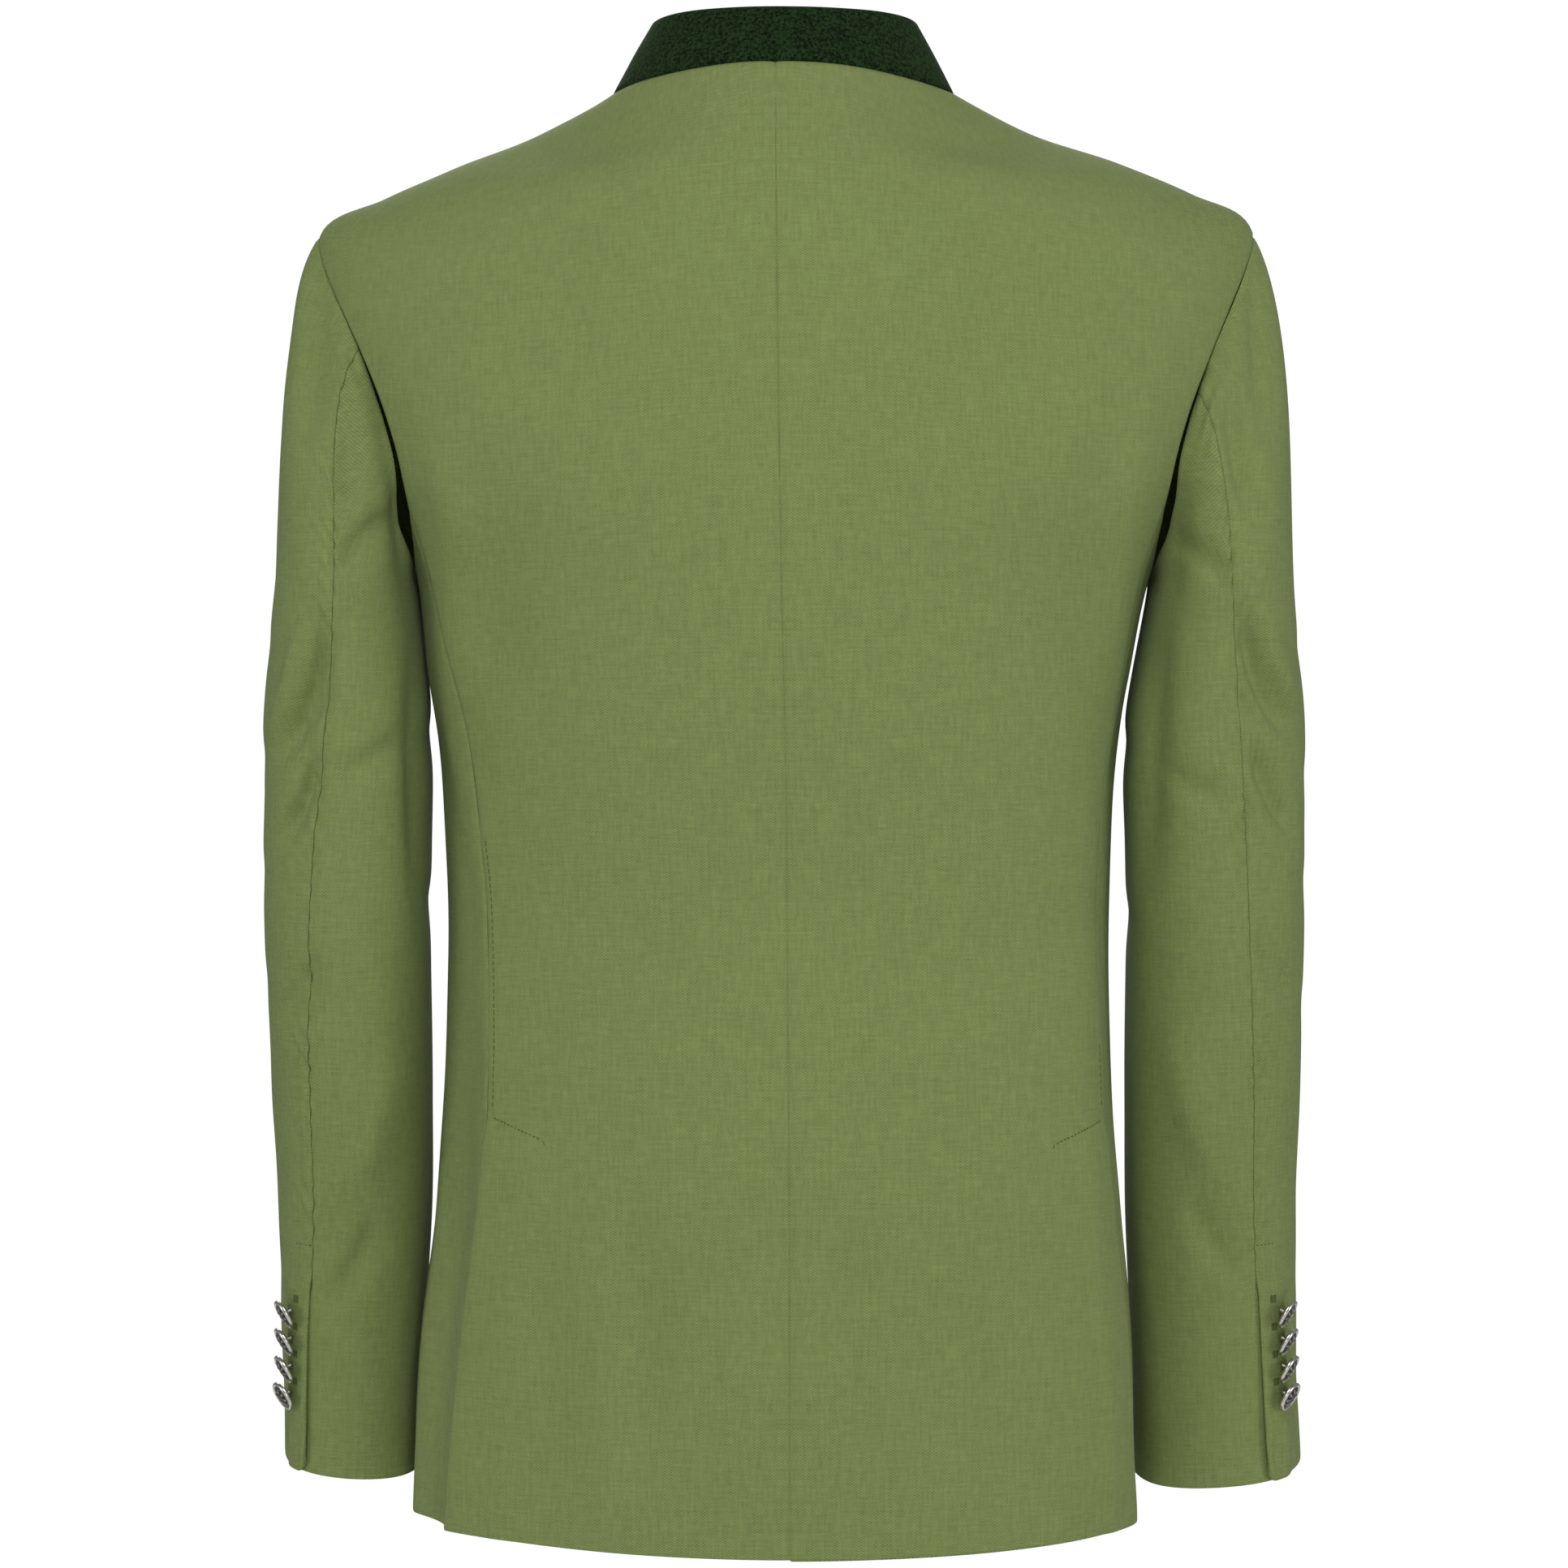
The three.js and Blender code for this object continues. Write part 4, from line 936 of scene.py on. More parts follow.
def linen_material():
    """Olive linen, woven from two tones of yarn, with painted shade on the low places of the weave."""
    name = "linen cloth"
    if name in bpy.data.materials:
        return bpy.data.materials[name]
    sizes, colours = bpy.context.scene.jacket_sizes, bpy.context.scene.jacket_colours
    finish = {"Roughness": 0.9, "Specular IOR Level": 0.25, "Sheen Weight": 0.04, "Sheen Roughness": 0.5}
    material, tree, shader = new_material(name, finish)
    place = wired(tree, "ShaderNodeUVMap", uv_map="cloth").outputs[0]
    sockets = {
        "Place": place,
        "Pitch across": sizes.weft_pitch,
        "Pitch down": sizes.warp_pitch,
        "Slub": LINEN_TONE["slub"],
    }
    weave = wired(tree, "ShaderNodeGroup", sockets, node_tree=weave_group()).outputs
    shade = scaled(tree, weave["Tone"], LINEN_TONE["weave"])
    # Painted shade: the weave's height makes its raised places paler and its low places darker.
    shade = math_node(tree, "ADD", shade, scaled(tree, weave["Height"], LINEN_TONE["height"]))
    cloud = around_zero(tree, noise(tree, place, 9.0, 3.0), LINEN_TONE["cloud"])
    shade = math_node(tree, "ADD", shade, cloud)
    tree.links.new(shades(tree, shade, colours.linen, LINEN_TONE), shader.inputs["Base Color"])
    bump = {"Height": weave["Height"], "Strength": 0.7, "Distance": 0.00022}
    tree.links.new(wired(tree, "ShaderNodeBump", bump).outputs[0], shader.inputs["Normal"])
    return material


def nap_group():
    """Felt: short matted fibres, with a little lint."""
    name = "Felt nap"
    if name in bpy.data.node_groups:
        return bpy.data.node_groups[name]
    takes = [("Place", "NodeSocketVector", None), ("Fibre", "NodeSocketFloat", FELT_NOISE["fibre"])]
    gives = [("Height", "NodeSocketFloat"), ("Tone", "NodeSocketFloat")]
    tree, take, give = new_group(name, takes, gives)
    fine = noise(tree, take["Place"], take["Fibre"], 3.0, 0.7)
    soft = noise(tree, take["Place"], FELT_NOISE["soft"], 3.0, 0.6)
    height = math_node(tree, "ADD", scaled(tree, fine, 0.7), scaled(tree, soft, 0.5))
    tree.links.new(height, give["Height"])
    fluff = around_zero(tree, noise(tree, take["Place"], FELT_NOISE["fluff"], 2.0, 0.7), FELT_TONE["fluff"])
    tone = math_node(tree, "ADD", fluff, around_zero(tree, soft, FELT_TONE["cloud"]))
    tree.links.new(math_node(tree, "ADD", tone, 0.5), give["Tone"])
    return tree


def felt_material():
    """Very dark green felt."""
    name = "green felt"
    if name in bpy.data.materials:
        return bpy.data.materials[name]
    finish = {
        "Roughness": 1.0,
        "Specular IOR Level": 0.1,
        "Sheen Weight": 0.1,
        "Sheen Roughness": 0.6,
        "Sheen Tint": (0.25, 0.4, 0.2, 1.0),
    }
    material, tree, shader = new_material(name, finish)
    place = wired(tree, "ShaderNodeTexCoord").outputs["Object"]
    nap = wired(tree, "ShaderNodeGroup", {"Place": place}, node_tree=nap_group()).outputs
    tone = wired(tree, "ShaderNodeClamp", {0: nap["Tone"]}).outputs[0]
    base = bpy.context.scene.jacket_colours.felt
    tree.links.new(shades(tree, tone, base, FELT_TONE), shader.inputs["Base Color"])
    bump = {"Height": nap["Height"], "Strength": 0.8, "Distance": 0.0006}
    tree.links.new(wired(tree, "ShaderNodeBump", bump).outputs[0], shader.inputs["Normal"])
    return material


def silver_material():
    """Old silver: bright where it is rubbed, dark in its hollows."""
    name = "old silver"
    if name in bpy.data.materials:
        return bpy.data.materials[name]
    colours = bpy.context.scene.jacket_colours
    material, tree, shader = new_material(name, {"Metallic": 1.0})
    place = wired(tree, "ShaderNodeTexCoord").outputs["Object"]
    hollow = wired(tree, "ShaderNodeAttribute", attribute_name="hollow").outputs["Fac"]
    stain = around_zero(tree, noise(tree, place, 900.0, 3.0, 0.6), 0.5)
    held = wired(tree, "ShaderNodeClamp", {0: math_node(tree, "ADD", hollow, stain)}).outputs[0]
    colour = mixed_colour(tree, held, (*colours.silver, 1.0), (*colours.tarnish, 1.0))
    tree.links.new(colour, shader.inputs["Base Color"])
    polished, tarnished = SILVER_ROUGHNESS
    tree.links.new(scaled(tree, held, tarnished - polished, polished), shader.inputs["Roughness"])
    return material


def thread_material():
    """Sewing thread, with the shade of its plies."""
    name = "sewing thread"
    if name in bpy.data.materials:
        return bpy.data.materials[name]
    material, tree, shader = new_material(name, {"Roughness": 0.7})
    place = wired(tree, "ShaderNodeTexCoord").outputs["Object"]
    ply = noise(tree, place, 2200.0, 2.0)
    base = bpy.context.scene.jacket_colours.thread
    tree.links.new(shades(tree, ply, base, THREAD_TONE), shader.inputs["Base Color"])
    return material


def sizes_mm():
    """The maker's sizes in millimetres."""
    sizes = bpy.context.scene.jacket_sizes
    return {
        "cell": sizes.cell / METRE,
        "groove": sizes.groove / METRE,
        "pucker": sizes.pucker / METRE,
        "crease": sizes.crease,
    }


def drawn_back(points, column, beside):
    """Draws an edge column back from the seam line by half the sewn gap."""
    step = points[:, beside] - points[:, column]
    points[:, column] += unit(step) * SEWN_GAP / 2


def on_back(name, x, z):
    """The point of a piece's outer surface at x and z as seen from the back, and the normal there."""
    grid = GRIDS[name]
    points, normals = grid["outer"].reshape(-1, 3), grid["normals"].reshape(-1, 3)
    away = (points[:, 0] - x) ** 2 + (points[:, 2] - z) ** 2 + np.where(normals[:, 1] > 0.1, 0, 1e6)
    nearest = int(np.argmin(away))
    point, normal = points[nearest], normals[nearest]
    y = point[1] - (normal[0] * (x - point[0]) + normal[2] * (z - point[2])) / normal[1]
    return np.array([x, y, z]), normal


def beside_edge(name, edge, inside, low, high):
    """The line on a piece that runs a distance inside one of its edges, between two heights."""
    grid = GRIDS[name]
    line, normals = [], []
    for row, normal, away in zip(grid["outer"], grid["normals"], grid[edge]):
        order = np.argsort(away)
        point = np.array([np.interp(inside, away[order], row[order, k]) for k in range(3)])
        if low <= point[2] <= high:
            line.append(point)
            normals.append([np.interp(inside, away[order], normal[order, k]) for k in range(3)])
    return np.array(line), unit(np.array(normals))


def across_from_edge(name, z, start, end, count=9):
    """The line across a piece at a height, between two distances from its first column."""
    grid = GRIDS[name]
    heights = grid["outer"][:, 0, 2]
    below = int(np.argmax(heights < z))
    share = (heights[below - 1] - z) / (heights[below - 1] - heights[below])
    away = np.linspace(start, end, count)

    def between(values):
        rows = [
            np.stack([np.interp(away, grid["left"][r], values[r, :, k]) for k in range(3)], axis=-1)
            for r in (below - 1, below)
        ]
        return lerp(rows[0], rows[1], share)

    return between(grid["outer"]), unit(between(grid["normals"]))


def value_at(travel, values, s):
    """The values along a line, at a distance from its start."""
    return np.array([np.interp(s, travel, values[:, k]) for k in range(3)])


def stitch_row(line, normals, length, gap, wide, high=STITCH["high"]):
    """Points and faces of a row of stitches that lie on a line."""
    travel = np.concatenate([[0], np.cumsum(np.linalg.norm(np.diff(line, axis=0), axis=-1))])
    around = np.linspace(0, 2 * np.pi, STITCH_SIDES + 1)[:-1]
    points, faces = [], []
    for start in np.arange(0.0, travel[-1] - length, length + gap):
        ends = value_at(travel, line, start), value_at(travel, line, start + length)
        up = unit(value_at(travel, normals, start + length / 2))
        middle, along_row = (ends[0] + ends[1]) / 2, unit(ends[1] - ends[0])
        beside = np.cross(along_row, up)
        first = len(points)
        for place, size in STITCH_RINGS:
            raised = 0.22 * (1 - place**2) - 0.08
            for turn in around:
                out = math.sin(turn) * high * size + raised
                offset = beside * math.cos(turn) * wide * size + up * out
                points.append(middle + along_row * place * length / 2 + offset)
        last = first + (len(STITCH_RINGS) - 1) * STITCH_SIDES
        for ring in range(first, last, STITCH_SIDES):
            for k in range(STITCH_SIDES):
                a, b = ring + k, ring + (k + 1) % STITCH_SIDES
                faces.append([a, b, b + STITCH_SIDES, a + STITCH_SIDES])
        faces.append([first + k for k in reversed(range(STITCH_SIDES))])
        faces.append([last + k for k in range(STITCH_SIDES)])
    return points, faces


def stitches(name, rows):
    """One piece of thread made of several rows of stitches: a line, its normals and the stitches' sizes."""
    points, faces = [], []
    for line, normals, sizes in rows:
        more, cells = stitch_row(np.array(line), np.array(normals), **sizes)
        faces += [[i + len(points) for i in cell] for cell in cells]
        points += more
    join_jacket(mesh_object(name, np.array(points), faces), thread_material(), "linen")


def straight_on_back(name, start, end, count=24):
    """The line on a piece between two points, each given as x and z, that looks straight from the back."""
    places = [lerp(np.array(start, float), np.array(end, float), t) for t in np.linspace(0, 1, count)]
    found = [on_back(name, x, z) for x, z in places]
    return [p for p, _ in found], [n for _, n in found]


def vent_stitching(word, side):
    """The topstitching above a side vent, the slanting tack at its top, and the tack's loose end."""
    back = f"back_{word}_cloth"
    high, low = TOPSTITCH_ROWS[word]
    line, normals = beside_edge(back, "right", TOPSTITCH_INSIDE, low, high)
    tack, tack_normals = straight_on_back(back, *VENT_TACKS[word])
    x, z = VENT_TACKS[word][1]
    inwards, down = LOOSE_END
    loose, loose_normals = straight_on_back(back, (x, z), (x - side * inwards, z - down), 8)
    rows = [(line, normals, STITCH), (tack, tack_normals, TACK_STITCH), (loose, loose_normals, LOOSE_STITCH)]
    stitches(f"vent_thread_{word}", rows)


def cuff_stitching(word):
    """The tack at the top of the cuff's slit, and the stitched bar beside each button."""
    top = f"sleeve_top_{word}_cloth"
    tack = across_from_edge(top, SLIT_TACK["height"], SLIT_TACK["start"], SLIT_TACK["end"])
    rows = [(*tack, SLIT_STITCH)]
    for i in range(CUFF_BUTTON["count"]):
        first = CUFF_BUTTON["first"] - CUFF_BUTTON["pitch"] * i + CUFF_BAR["above"]
        for k in range(CUFF_BAR["count"]):
            bar = across_from_edge(top, first + CUFF_BAR["pitch"] * k, CUFF_BAR["start"], CUFF_BAR["end"])
            rows.append((*bar, BAR_STITCH))
    stitches(f"cuff_thread_{word}", rows)


def back_panel(word, side):
    """Half of the back, from the neck to the hem."""
    mm = sizes_mm()
    v = panel_rows(mm["cell"])[:, None]
    share = shares(PIECE_WIDTH["back"], mm["cell"])[None, :]
    edge = back_edge(side, v)
    angle = column_angle(share, 90, edge, v)
    over_vent = smooth(v, VENT_TOP, VENT_START) * smooth(angle, edge - 19, edge - 12)
    flare = 2 * smooth(v, VENT_TOP, HEM) * smooth(angle, edge - 12, edge)
    base, normals = cloth_at(side * angle, v, over_vent * LAP + flare)
    drawn_back(base, 0, 1)
    drawn_back(base, -1, -2)
    at = from_edges(base)
    lift = seam_lift(at, ("left", "top", "right"), mm["groove"])
    lift += crease_lift(base, normals, BODY_CREASES) * mm["crease"]
    lift += undulation(at, SEED["back"] + side, 0.35) * smooth(at["left"], 0, 30)
    lift += pucker_lift(at["left"], at["top"], SEED["centre_back"], 0.35 * mm["pucker"], 13, 7)
    waist = int(np.searchsorted(v[:, 0], WAIST))
    linen_piece(f"back_{word}", base, normals, lift, ("left", "top", "right"), (waist, 0))


def underarm_place(share):
    """The angle and the v of the armhole's edge on the side panel, from its back corner to its front one."""
    half_back, half_front = (armhole_half(SIDE_TOP_Q, width) for width in (ARMHOLE_BACK, ARMHOLE_FRONT))
    opening = 1 - 2 * share
    q = 1 - np.arcsin(math.sin(math.pi * SIDE_TOP_Q) * np.abs(opening)) / np.pi
    return 90 - lerp(half_back, half_front, share) * opening, armhole_v(q)


def side_flatness(side, angle, v):
    """How far the side panel lies inside the body's ring towards the vent, where it is flatter."""
    edge = back_edge(side, v)
    span_here = SIDE_FLAT["end"] - edge
    across = np.clip((angle - edge) / span_here, 0, 1)
    depth = SIDE_FLAT["depth"] * (span_here / SIDE_FLAT["span"]) ** 2
    return depth * smooth(v, SIDE_FLAT["from"], SIDE_FLAT["full"]) * np.sin(np.pi * across)


def side_panel(word, side):
    """The narrow panel under the arm, with an underlap behind the side vent."""
    mm = sizes_mm()
    share = shares(PIECE_WIDTH["side"], mm["cell"])
    top_angle, top_v = underarm_place(share)

    def spread(v):
        return lerp(back_edge(side, v), front_edge(v), share[None, :])

    part = span(0, 1, int(ROW_LENGTH["underarm"] / mm["cell"]))[:-1, None]
    upper_v = lerp(top_v[None, :], BELOW_UNDERARM, part)
    settle = part ** (4 * share * (1 - share))[None, :]
    upper_angle = lerp(np.broadcast_to(top_angle, settle.shape), spread(upper_v), settle)
    lower = panel_rows(mm["cell"])
    lower = np.concatenate([[BELOW_UNDERARM], lower[lower > BELOW_UNDERARM + 0.02]])[:, None]
    v = np.concatenate([upper_v, np.broadcast_to(lower, (len(lower), len(share)))])
    angle = np.concatenate([upper_angle, spread(lower)])
    lap = span(UNDERLAP, 0, 9)[:-1]
    v = np.concatenate([np.repeat(v[:, :1], len(lap), axis=1), v], axis=1)
    angle = np.concatenate([angle[:, :1] - lap[None, :], angle], axis=1)
    base, normals = cloth_at(side * angle, v, -side_flatness(side, angle, v))
    active = np.ones((base.shape[0] - 1, base.shape[1] - 1), dtype=bool)
    active[:, : len(lap)] = v[:-1, :1] >= VENT_START - 1e-6
    drawn_back(base, -1, -2)
    at = from_edges(base)
    lift = seam_lift(at, ("top", "right", "left"), mm["groove"])
    on_seam = at["left"] - at["left"][:, len(lap) : len(lap) + 1]
    lift -= mm["groove"] * np.exp(-((on_seam / GROOVE_WIDE) ** 2)) * (v < VENT_TOP)
    lift += crease_lift(base, normals, BODY_CREASES) * mm["crease"]
    beside_vent = smooth(v, VENT_TOP - 1, VENT_TOP) * smooth(-on_seam, -25, 0)
    lift += undulation(at, SEED["side"] + side, 0.35) * (1 - beside_vent)
    below_tack = smooth(v, VENT_TOP - 0.1, VENT_START + 0.2)
    lift -= VENT_RECESS * below_tack * smooth(-on_seam, -9, 2)
    if side > 0:
        slack = np.sin(np.pi * np.clip(on_seam / LEFT_SLACK["span"], 0, 1))
        lift -= LEFT_SLACK["depth"] * below_tack * slack
    grain = (int(np.searchsorted(v[:, -1], WAIST)), base.shape[1] // 2)
    linen_piece(f"side_{word}", base, normals, lift, ("top", "right"), grain, active)


def front_panel(word, side):
    """A front: the left one laps over the right one at the centre front."""
    mm = sizes_mm()
    v = panel_rows(mm["cell"])[:, None]
    reach = BUTTON_WRAP / np.radians(along(BODY, v)["left"])
    flat = 180 - 2.2 * reach
    share = shares(PIECE_WIDTH["front"], mm["cell"], both=False)[None, :]
    beside = flat - column_angle(1 - share, flat - 90, flat - front_edge(v), v)
    wrap = np.linspace(0, 1, int(PIECE_WIDTH["wrap"] / mm["cell"]))[1:][None, :]
    wrap = np.concatenate([wrap[:, :-1], [[0.97, 0.99, 1.0]]], axis=1)
    angle = np.concatenate([beside, lerp(flat, 180 + reach, wrap)], axis=1)
    corner = 0.55 * smooth(v, HEM - 1.2, HEM) * smooth(angle, 174, 180 + reach) ** 2
    under = LAP * smooth(angle, 180 - 2.2 * reach, 180 - 1.2 * reach) if side < 0 else 0 * angle
    base, normals = cloth_at(side * angle, v - corner, -under)
    drawn_back(base, 0, 1)
    at = from_edges(base)
    lift = seam_lift(at, ("left", "top"), mm["groove"])
    calm = smooth(at["right"], 20, 60)
    lift += crease_lift(base, normals, BODY_CREASES) * mm["crease"] * calm
    lift += undulation(at, SEED["front"] + side) * calm
    grain = (int(np.searchsorted(v[:, 0], WAIST)), -4)
    linen_piece(f"front_{word}", base, normals, lift, ("left", "top"), grain)


def armhole_place(w):
    """The armhole's edge: w is 0 at the shoulder tip, 1 and 2 at the side panel's two corners, and 3 at the
    tip again."""
    w = np.mod(w, 3)
    back_q = SIDE_TOP_Q * np.clip(w, 0, 1) ** 1.3
    front_q = SIDE_TOP_Q * np.clip(3 - w, 0, 1) ** 1.3
    under_angle, under_v = underarm_place(np.clip(w - 1, 0, 1))
    which = [w <= 1, w < 2]
    back_angle = 90 - armhole_half(back_q, ARMHOLE_BACK)
    front_angle = 90 + armhole_half(front_q, ARMHOLE_FRONT)
    angle = np.select(which, [back_angle, under_angle], front_angle)
    v = np.select(which, [armhole_v(back_q), under_v], armhole_v(front_q))
    return angle, v


def sleeve_ring_point(side, ring, angle):
    """A point of a sleeve ring: 0 at the back, 90 at the outside, 180 at the front."""
    s, c = np.sin(np.radians(angle)), np.cos(np.radians(angle))
    middle = (ring["outer"] + ring["inner"]) / 2
    across = (ring["outer"] - ring["inner"]) / 2 * s * (1 + SLEEVE_SQUARE * c * c)
    back = ring["depth"] * c * (1 + SLEEVE_SQUARE * s * s)
    tilt, roll = np.radians(ring["tilt"]), np.radians(ring["roll"])
    z = ring["z"] - back * np.sin(tilt) + across * np.sin(roll)
    return stacked(side * (middle + across), ring["y"] + back * np.cos(tilt), z)


def cap_direction(side, angle):
    """How the sleeve leaves the armhole: out and down at the crown, down at the underarm."""
    s, c = np.sin(np.radians(angle)), np.cos(np.radians(angle))
    crown, underarm = np.maximum(s, 0), np.maximum(-s, 0)
    out = 0.28 * crown + 0.36 * np.abs(c) + 0.3 * underarm
    down = 0.38 * crown + 0.55 * np.abs(c) + 0.9 * underarm
    return stacked(side * out, 0.2 * c, -down)


def hermite(start, leave, end, arrive, t):
    """A point of the curve that leaves its start and arrives at its end in given directions."""
    t2, t3 = t * t, t * t * t
    return (
        (2 * t3 - 3 * t2 + 1) * start
        + (t3 - 2 * t2 + t) * leave
        + (3 * t2 - 2 * t3) * end
        + (t3 - t2) * arrive
    )


class Sleeve:
    """The whole sleeve's surface. A path runs round the arm from the back seam over the top, with 3 for a
    whole turn."""

    def __init__(self, word, side):
        self.side, self.rings, self.first_place = side, SLEEVES[word], BACK_SEAM_PLACE[word]
        self.front = self.first_place + 3 - FRONT_SEAM_PLACE
        dense = np.linspace(0, 3, 1501)
        points, _ = self.loop(dense)
        low, high = points.min(axis=0), points.max(axis=0)
        self.middle, self.half = (low + high) / 2, (high - low) / 2
        centred = (points - self.middle) / self.half
        turned = np.unwrap(np.arctan2(centred[:, 2], centred[:, 1]))
        turned = np.degrees(turned - turned[0])
        first = math.degrees(math.atan2(centred[0, 2], centred[0, 1]))
        self.dense, self.turn = dense, turned * np.sign(turned[-1]) + first % 360
        steps = np.linalg.norm(np.diff(points, axis=0), axis=-1)
        self.travel = np.concatenate([[0], np.cumsum(steps)])

    def loop(self, path):
        angle, v = armhole_place(self.first_place - path)
        return cloth_at(self.side * angle, v)

    def evenly(self, start, end, share):
        """Places round the arm that are evenly spaced along the armhole."""
        a, b = np.interp([start, end], self.dense, self.travel)
        return np.interp(lerp(a, b, share), self.travel, self.dense)

    def ring_angle(self, path, ring):
        turned = np.interp(path, self.dense, self.turn)
        first, last = self.turn[0], self.turn[-1]
        front = np.interp(self.front, self.dense, self.turn)
        on_top = lerp(ring["back_seam"], ring["front_seam"], (turned - first) / (front - first))
        rest = 360 + ring["back_seam"] - ring["front_seam"]
        below = ring["front_seam"] + rest * (turned - front) / (last - front)
        return np.where(path <= self.front, on_top, below)

    def on_ring(self, path, place):
        ring = along(self.rings, place)
        return sleeve_ring_point(self.side, ring, self.ring_angle(path, ring))

    def surface(self, path, cap_rows, arm_rows):
        """Points by row and column. Columns run once round the arm, and the cap's rows come first."""
        point, normal = self.loop(path)
        in_hole = self.middle - point
        in_hole -= normal * np.einsum("ij,ij->i", in_hole, normal)[:, None]
        start = point + unit(in_hole) * SEWN_GAP
        end = self.on_ring(path, np.zeros(len(path)))
        reach = np.linalg.norm(end - start, axis=-1, keepdims=True)
        leave = cap_direction(self.side, np.interp(path, self.dense, self.turn)) * reach
        arrive = unit(self.on_ring(path, np.full(len(path), 0.3)) - end) * 1.05 * reach
        cap = [hermite(start, leave, end, arrive, t) for t in cap_rows]
        arm = self.on_ring(path[None, :], arm_rows[:, None])
        return np.concatenate([np.stack(cap), arm])

    def normals(self, points):
        """Outward normals of a grid whose columns close up round the arm."""
        across = np.roll(points, -1, axis=1) - np.roll(points, 1, axis=1)
        down = np.gradient(points, axis=0)
        return unit(np.cross(down, across) * -self.side)


def sleeve_panels(word, side):
    """Top and under sleeve, cut from one surface."""
    mm = sizes_mm()
    sleeve = Sleeve(word, side)
    top = sleeve.evenly(0, sleeve.front, shares(PIECE_WIDTH["sleeve_top"], mm["cell"]))
    under = sleeve.evenly(sleeve.front, 3, shares(PIECE_WIDTH["sleeve_under"], mm["cell"]))
    path = np.concatenate([top[:-1], under[:-1]])
    cap_rows = shares(ROW_LENGTH["cap"], mm["cell"], both=False)[:-1]
    above_slit = span(0, CUFF_VENT, int(ROW_LENGTH["arm"] / mm["cell"]))
    beside_slit = (1 - shares(ROW_LENGTH["cuff"], mm["cell"])[::-1])[1:]
    arm_rows = np.concatenate([above_slit, lerp(CUFF_VENT, LAST_RING, beside_slit)])
    whole = sleeve.surface(path, cap_rows, arm_rows)
    normals = sleeve.normals(whole)
    closed = from_edges(np.concatenate([whole, whole[:, :1]], axis=1))
    cloth = {
        "points": whole,
        "normals": normals,
        "creases": crease_lift(whole, normals, SLEEVE_CREASES[word]) * mm["crease"],
        "down": closed["top"][:, :-1],
    }
    place = np.concatenate([np.full(len(cap_rows), -1.0), arm_rows])[:, None]
    upper_arm = len(cap_rows) + 6
    last_top = len(top) - 1
    lap = int(np.searchsorted(from_edges(whole)["left"][-1], CUFF_LAP))
    of_top = np.arange(0, last_top + 1)
    of_under = np.concatenate([np.arange(last_top, len(path)), np.arange(0, lap + 1)])
    top_sleeve(word, side, {name: values[:, of_top] for name, values in cloth.items()}, place, upper_arm)
    cloth = {name: values[:, of_under] for name, values in cloth.items()}
    under_sleeve(word, side, cloth, place, upper_arm, len(path) - last_top)


def seam_pucker(distance, down, side, place):
    """The puckers beside a sleeve's back seam, the same on both of its sides, down to the cuff's slit."""
    height = sizes_mm()["pucker"] * (1 - smooth(place, CUFF_VENT - 0.5, CUFF_VENT))
    return pucker_lift(distance, down, SEED["sleeve_seam"] + side, height)


def top_sleeve(word, side, cloth, place, upper_arm):
    """The top sleeve, which laps over the under one at the cuff's slit."""
    mm = sizes_mm()
    base, lift = cloth["points"], cloth["creases"]
    drawn_back(base, 0, 1)
    drawn_back(base, -1, -2)
    at = from_edges(base)
    round_corner(base, at, CUFF_CORNER)
    lift += seam_lift(at, ("left", "top", "right"), mm["groove"])
    lift += undulation(at, SEED["sleeve_top"] + side) * smooth(at["left"], 0, 25)
    lift += seam_pucker(at["left"], cloth["down"], side, place)
    ledge = smooth(-at["left"], -ALLOWANCE - 0.6, -ALLOWANCE + 0.6) * (place < CUFF_VENT)
    lift += ALLOWANCE_LEDGE * ledge
    lift += pucker_lift(at["top"], at["left"], SEED["cap"] + side, 0.6 * mm["pucker"], 12, 8)
    lift += LAP * smooth(place, CUFF_VENT - 0.12, CUFF_VENT) * smooth(-at["left"], -24, -13)
    near_edge = smooth(-at["left"], -CUFF_EDGE["wide"], 0)
    lift += CUFF_EDGE["lift"] * smooth(place, CUFF_VENT, LAST_RING) * near_edge
    grain = (upper_arm, base.shape[1] // 2)
    linen_piece(f"sleeve_top_{word}", base, cloth["normals"], lift, ("left", "top", "right"), grain)


def under_sleeve(word, side, cloth, place, upper_arm, seam):
    """The under sleeve, with the lap behind the cuff's slit beyond its column at the back seam."""
    mm = sizes_mm()
    base, lift = cloth["points"], cloth["creases"]
    drawn_back(base, 0, 1)
    at = from_edges(base)
    to_seam = at["left"][:, seam : seam + 1] - at["left"]
    active = np.ones((base.shape[0] - 1, base.shape[1] - 1), dtype=bool)
    active[:, seam:] = place[:-1] >= CUFF_VENT - 1e-6
    lift += seam_lift(at, ("left", "top", "right"), mm["groove"])
    lift -= mm["groove"] * np.exp(-((to_seam / GROOVE_WIDE) ** 2)) * (place < CUFF_VENT)
    lift += undulation(at, SEED["sleeve_under"] + side, 0.4) * smooth(to_seam, 0, 25)
    lift += seam_pucker(np.abs(to_seam), cloth["down"], side, place)
    grain = (upper_arm, base.shape[1] // 2)
    linen_piece(f"sleeve_under_{word}", base, cloth["normals"], lift, ("left", "top"), grain, active)


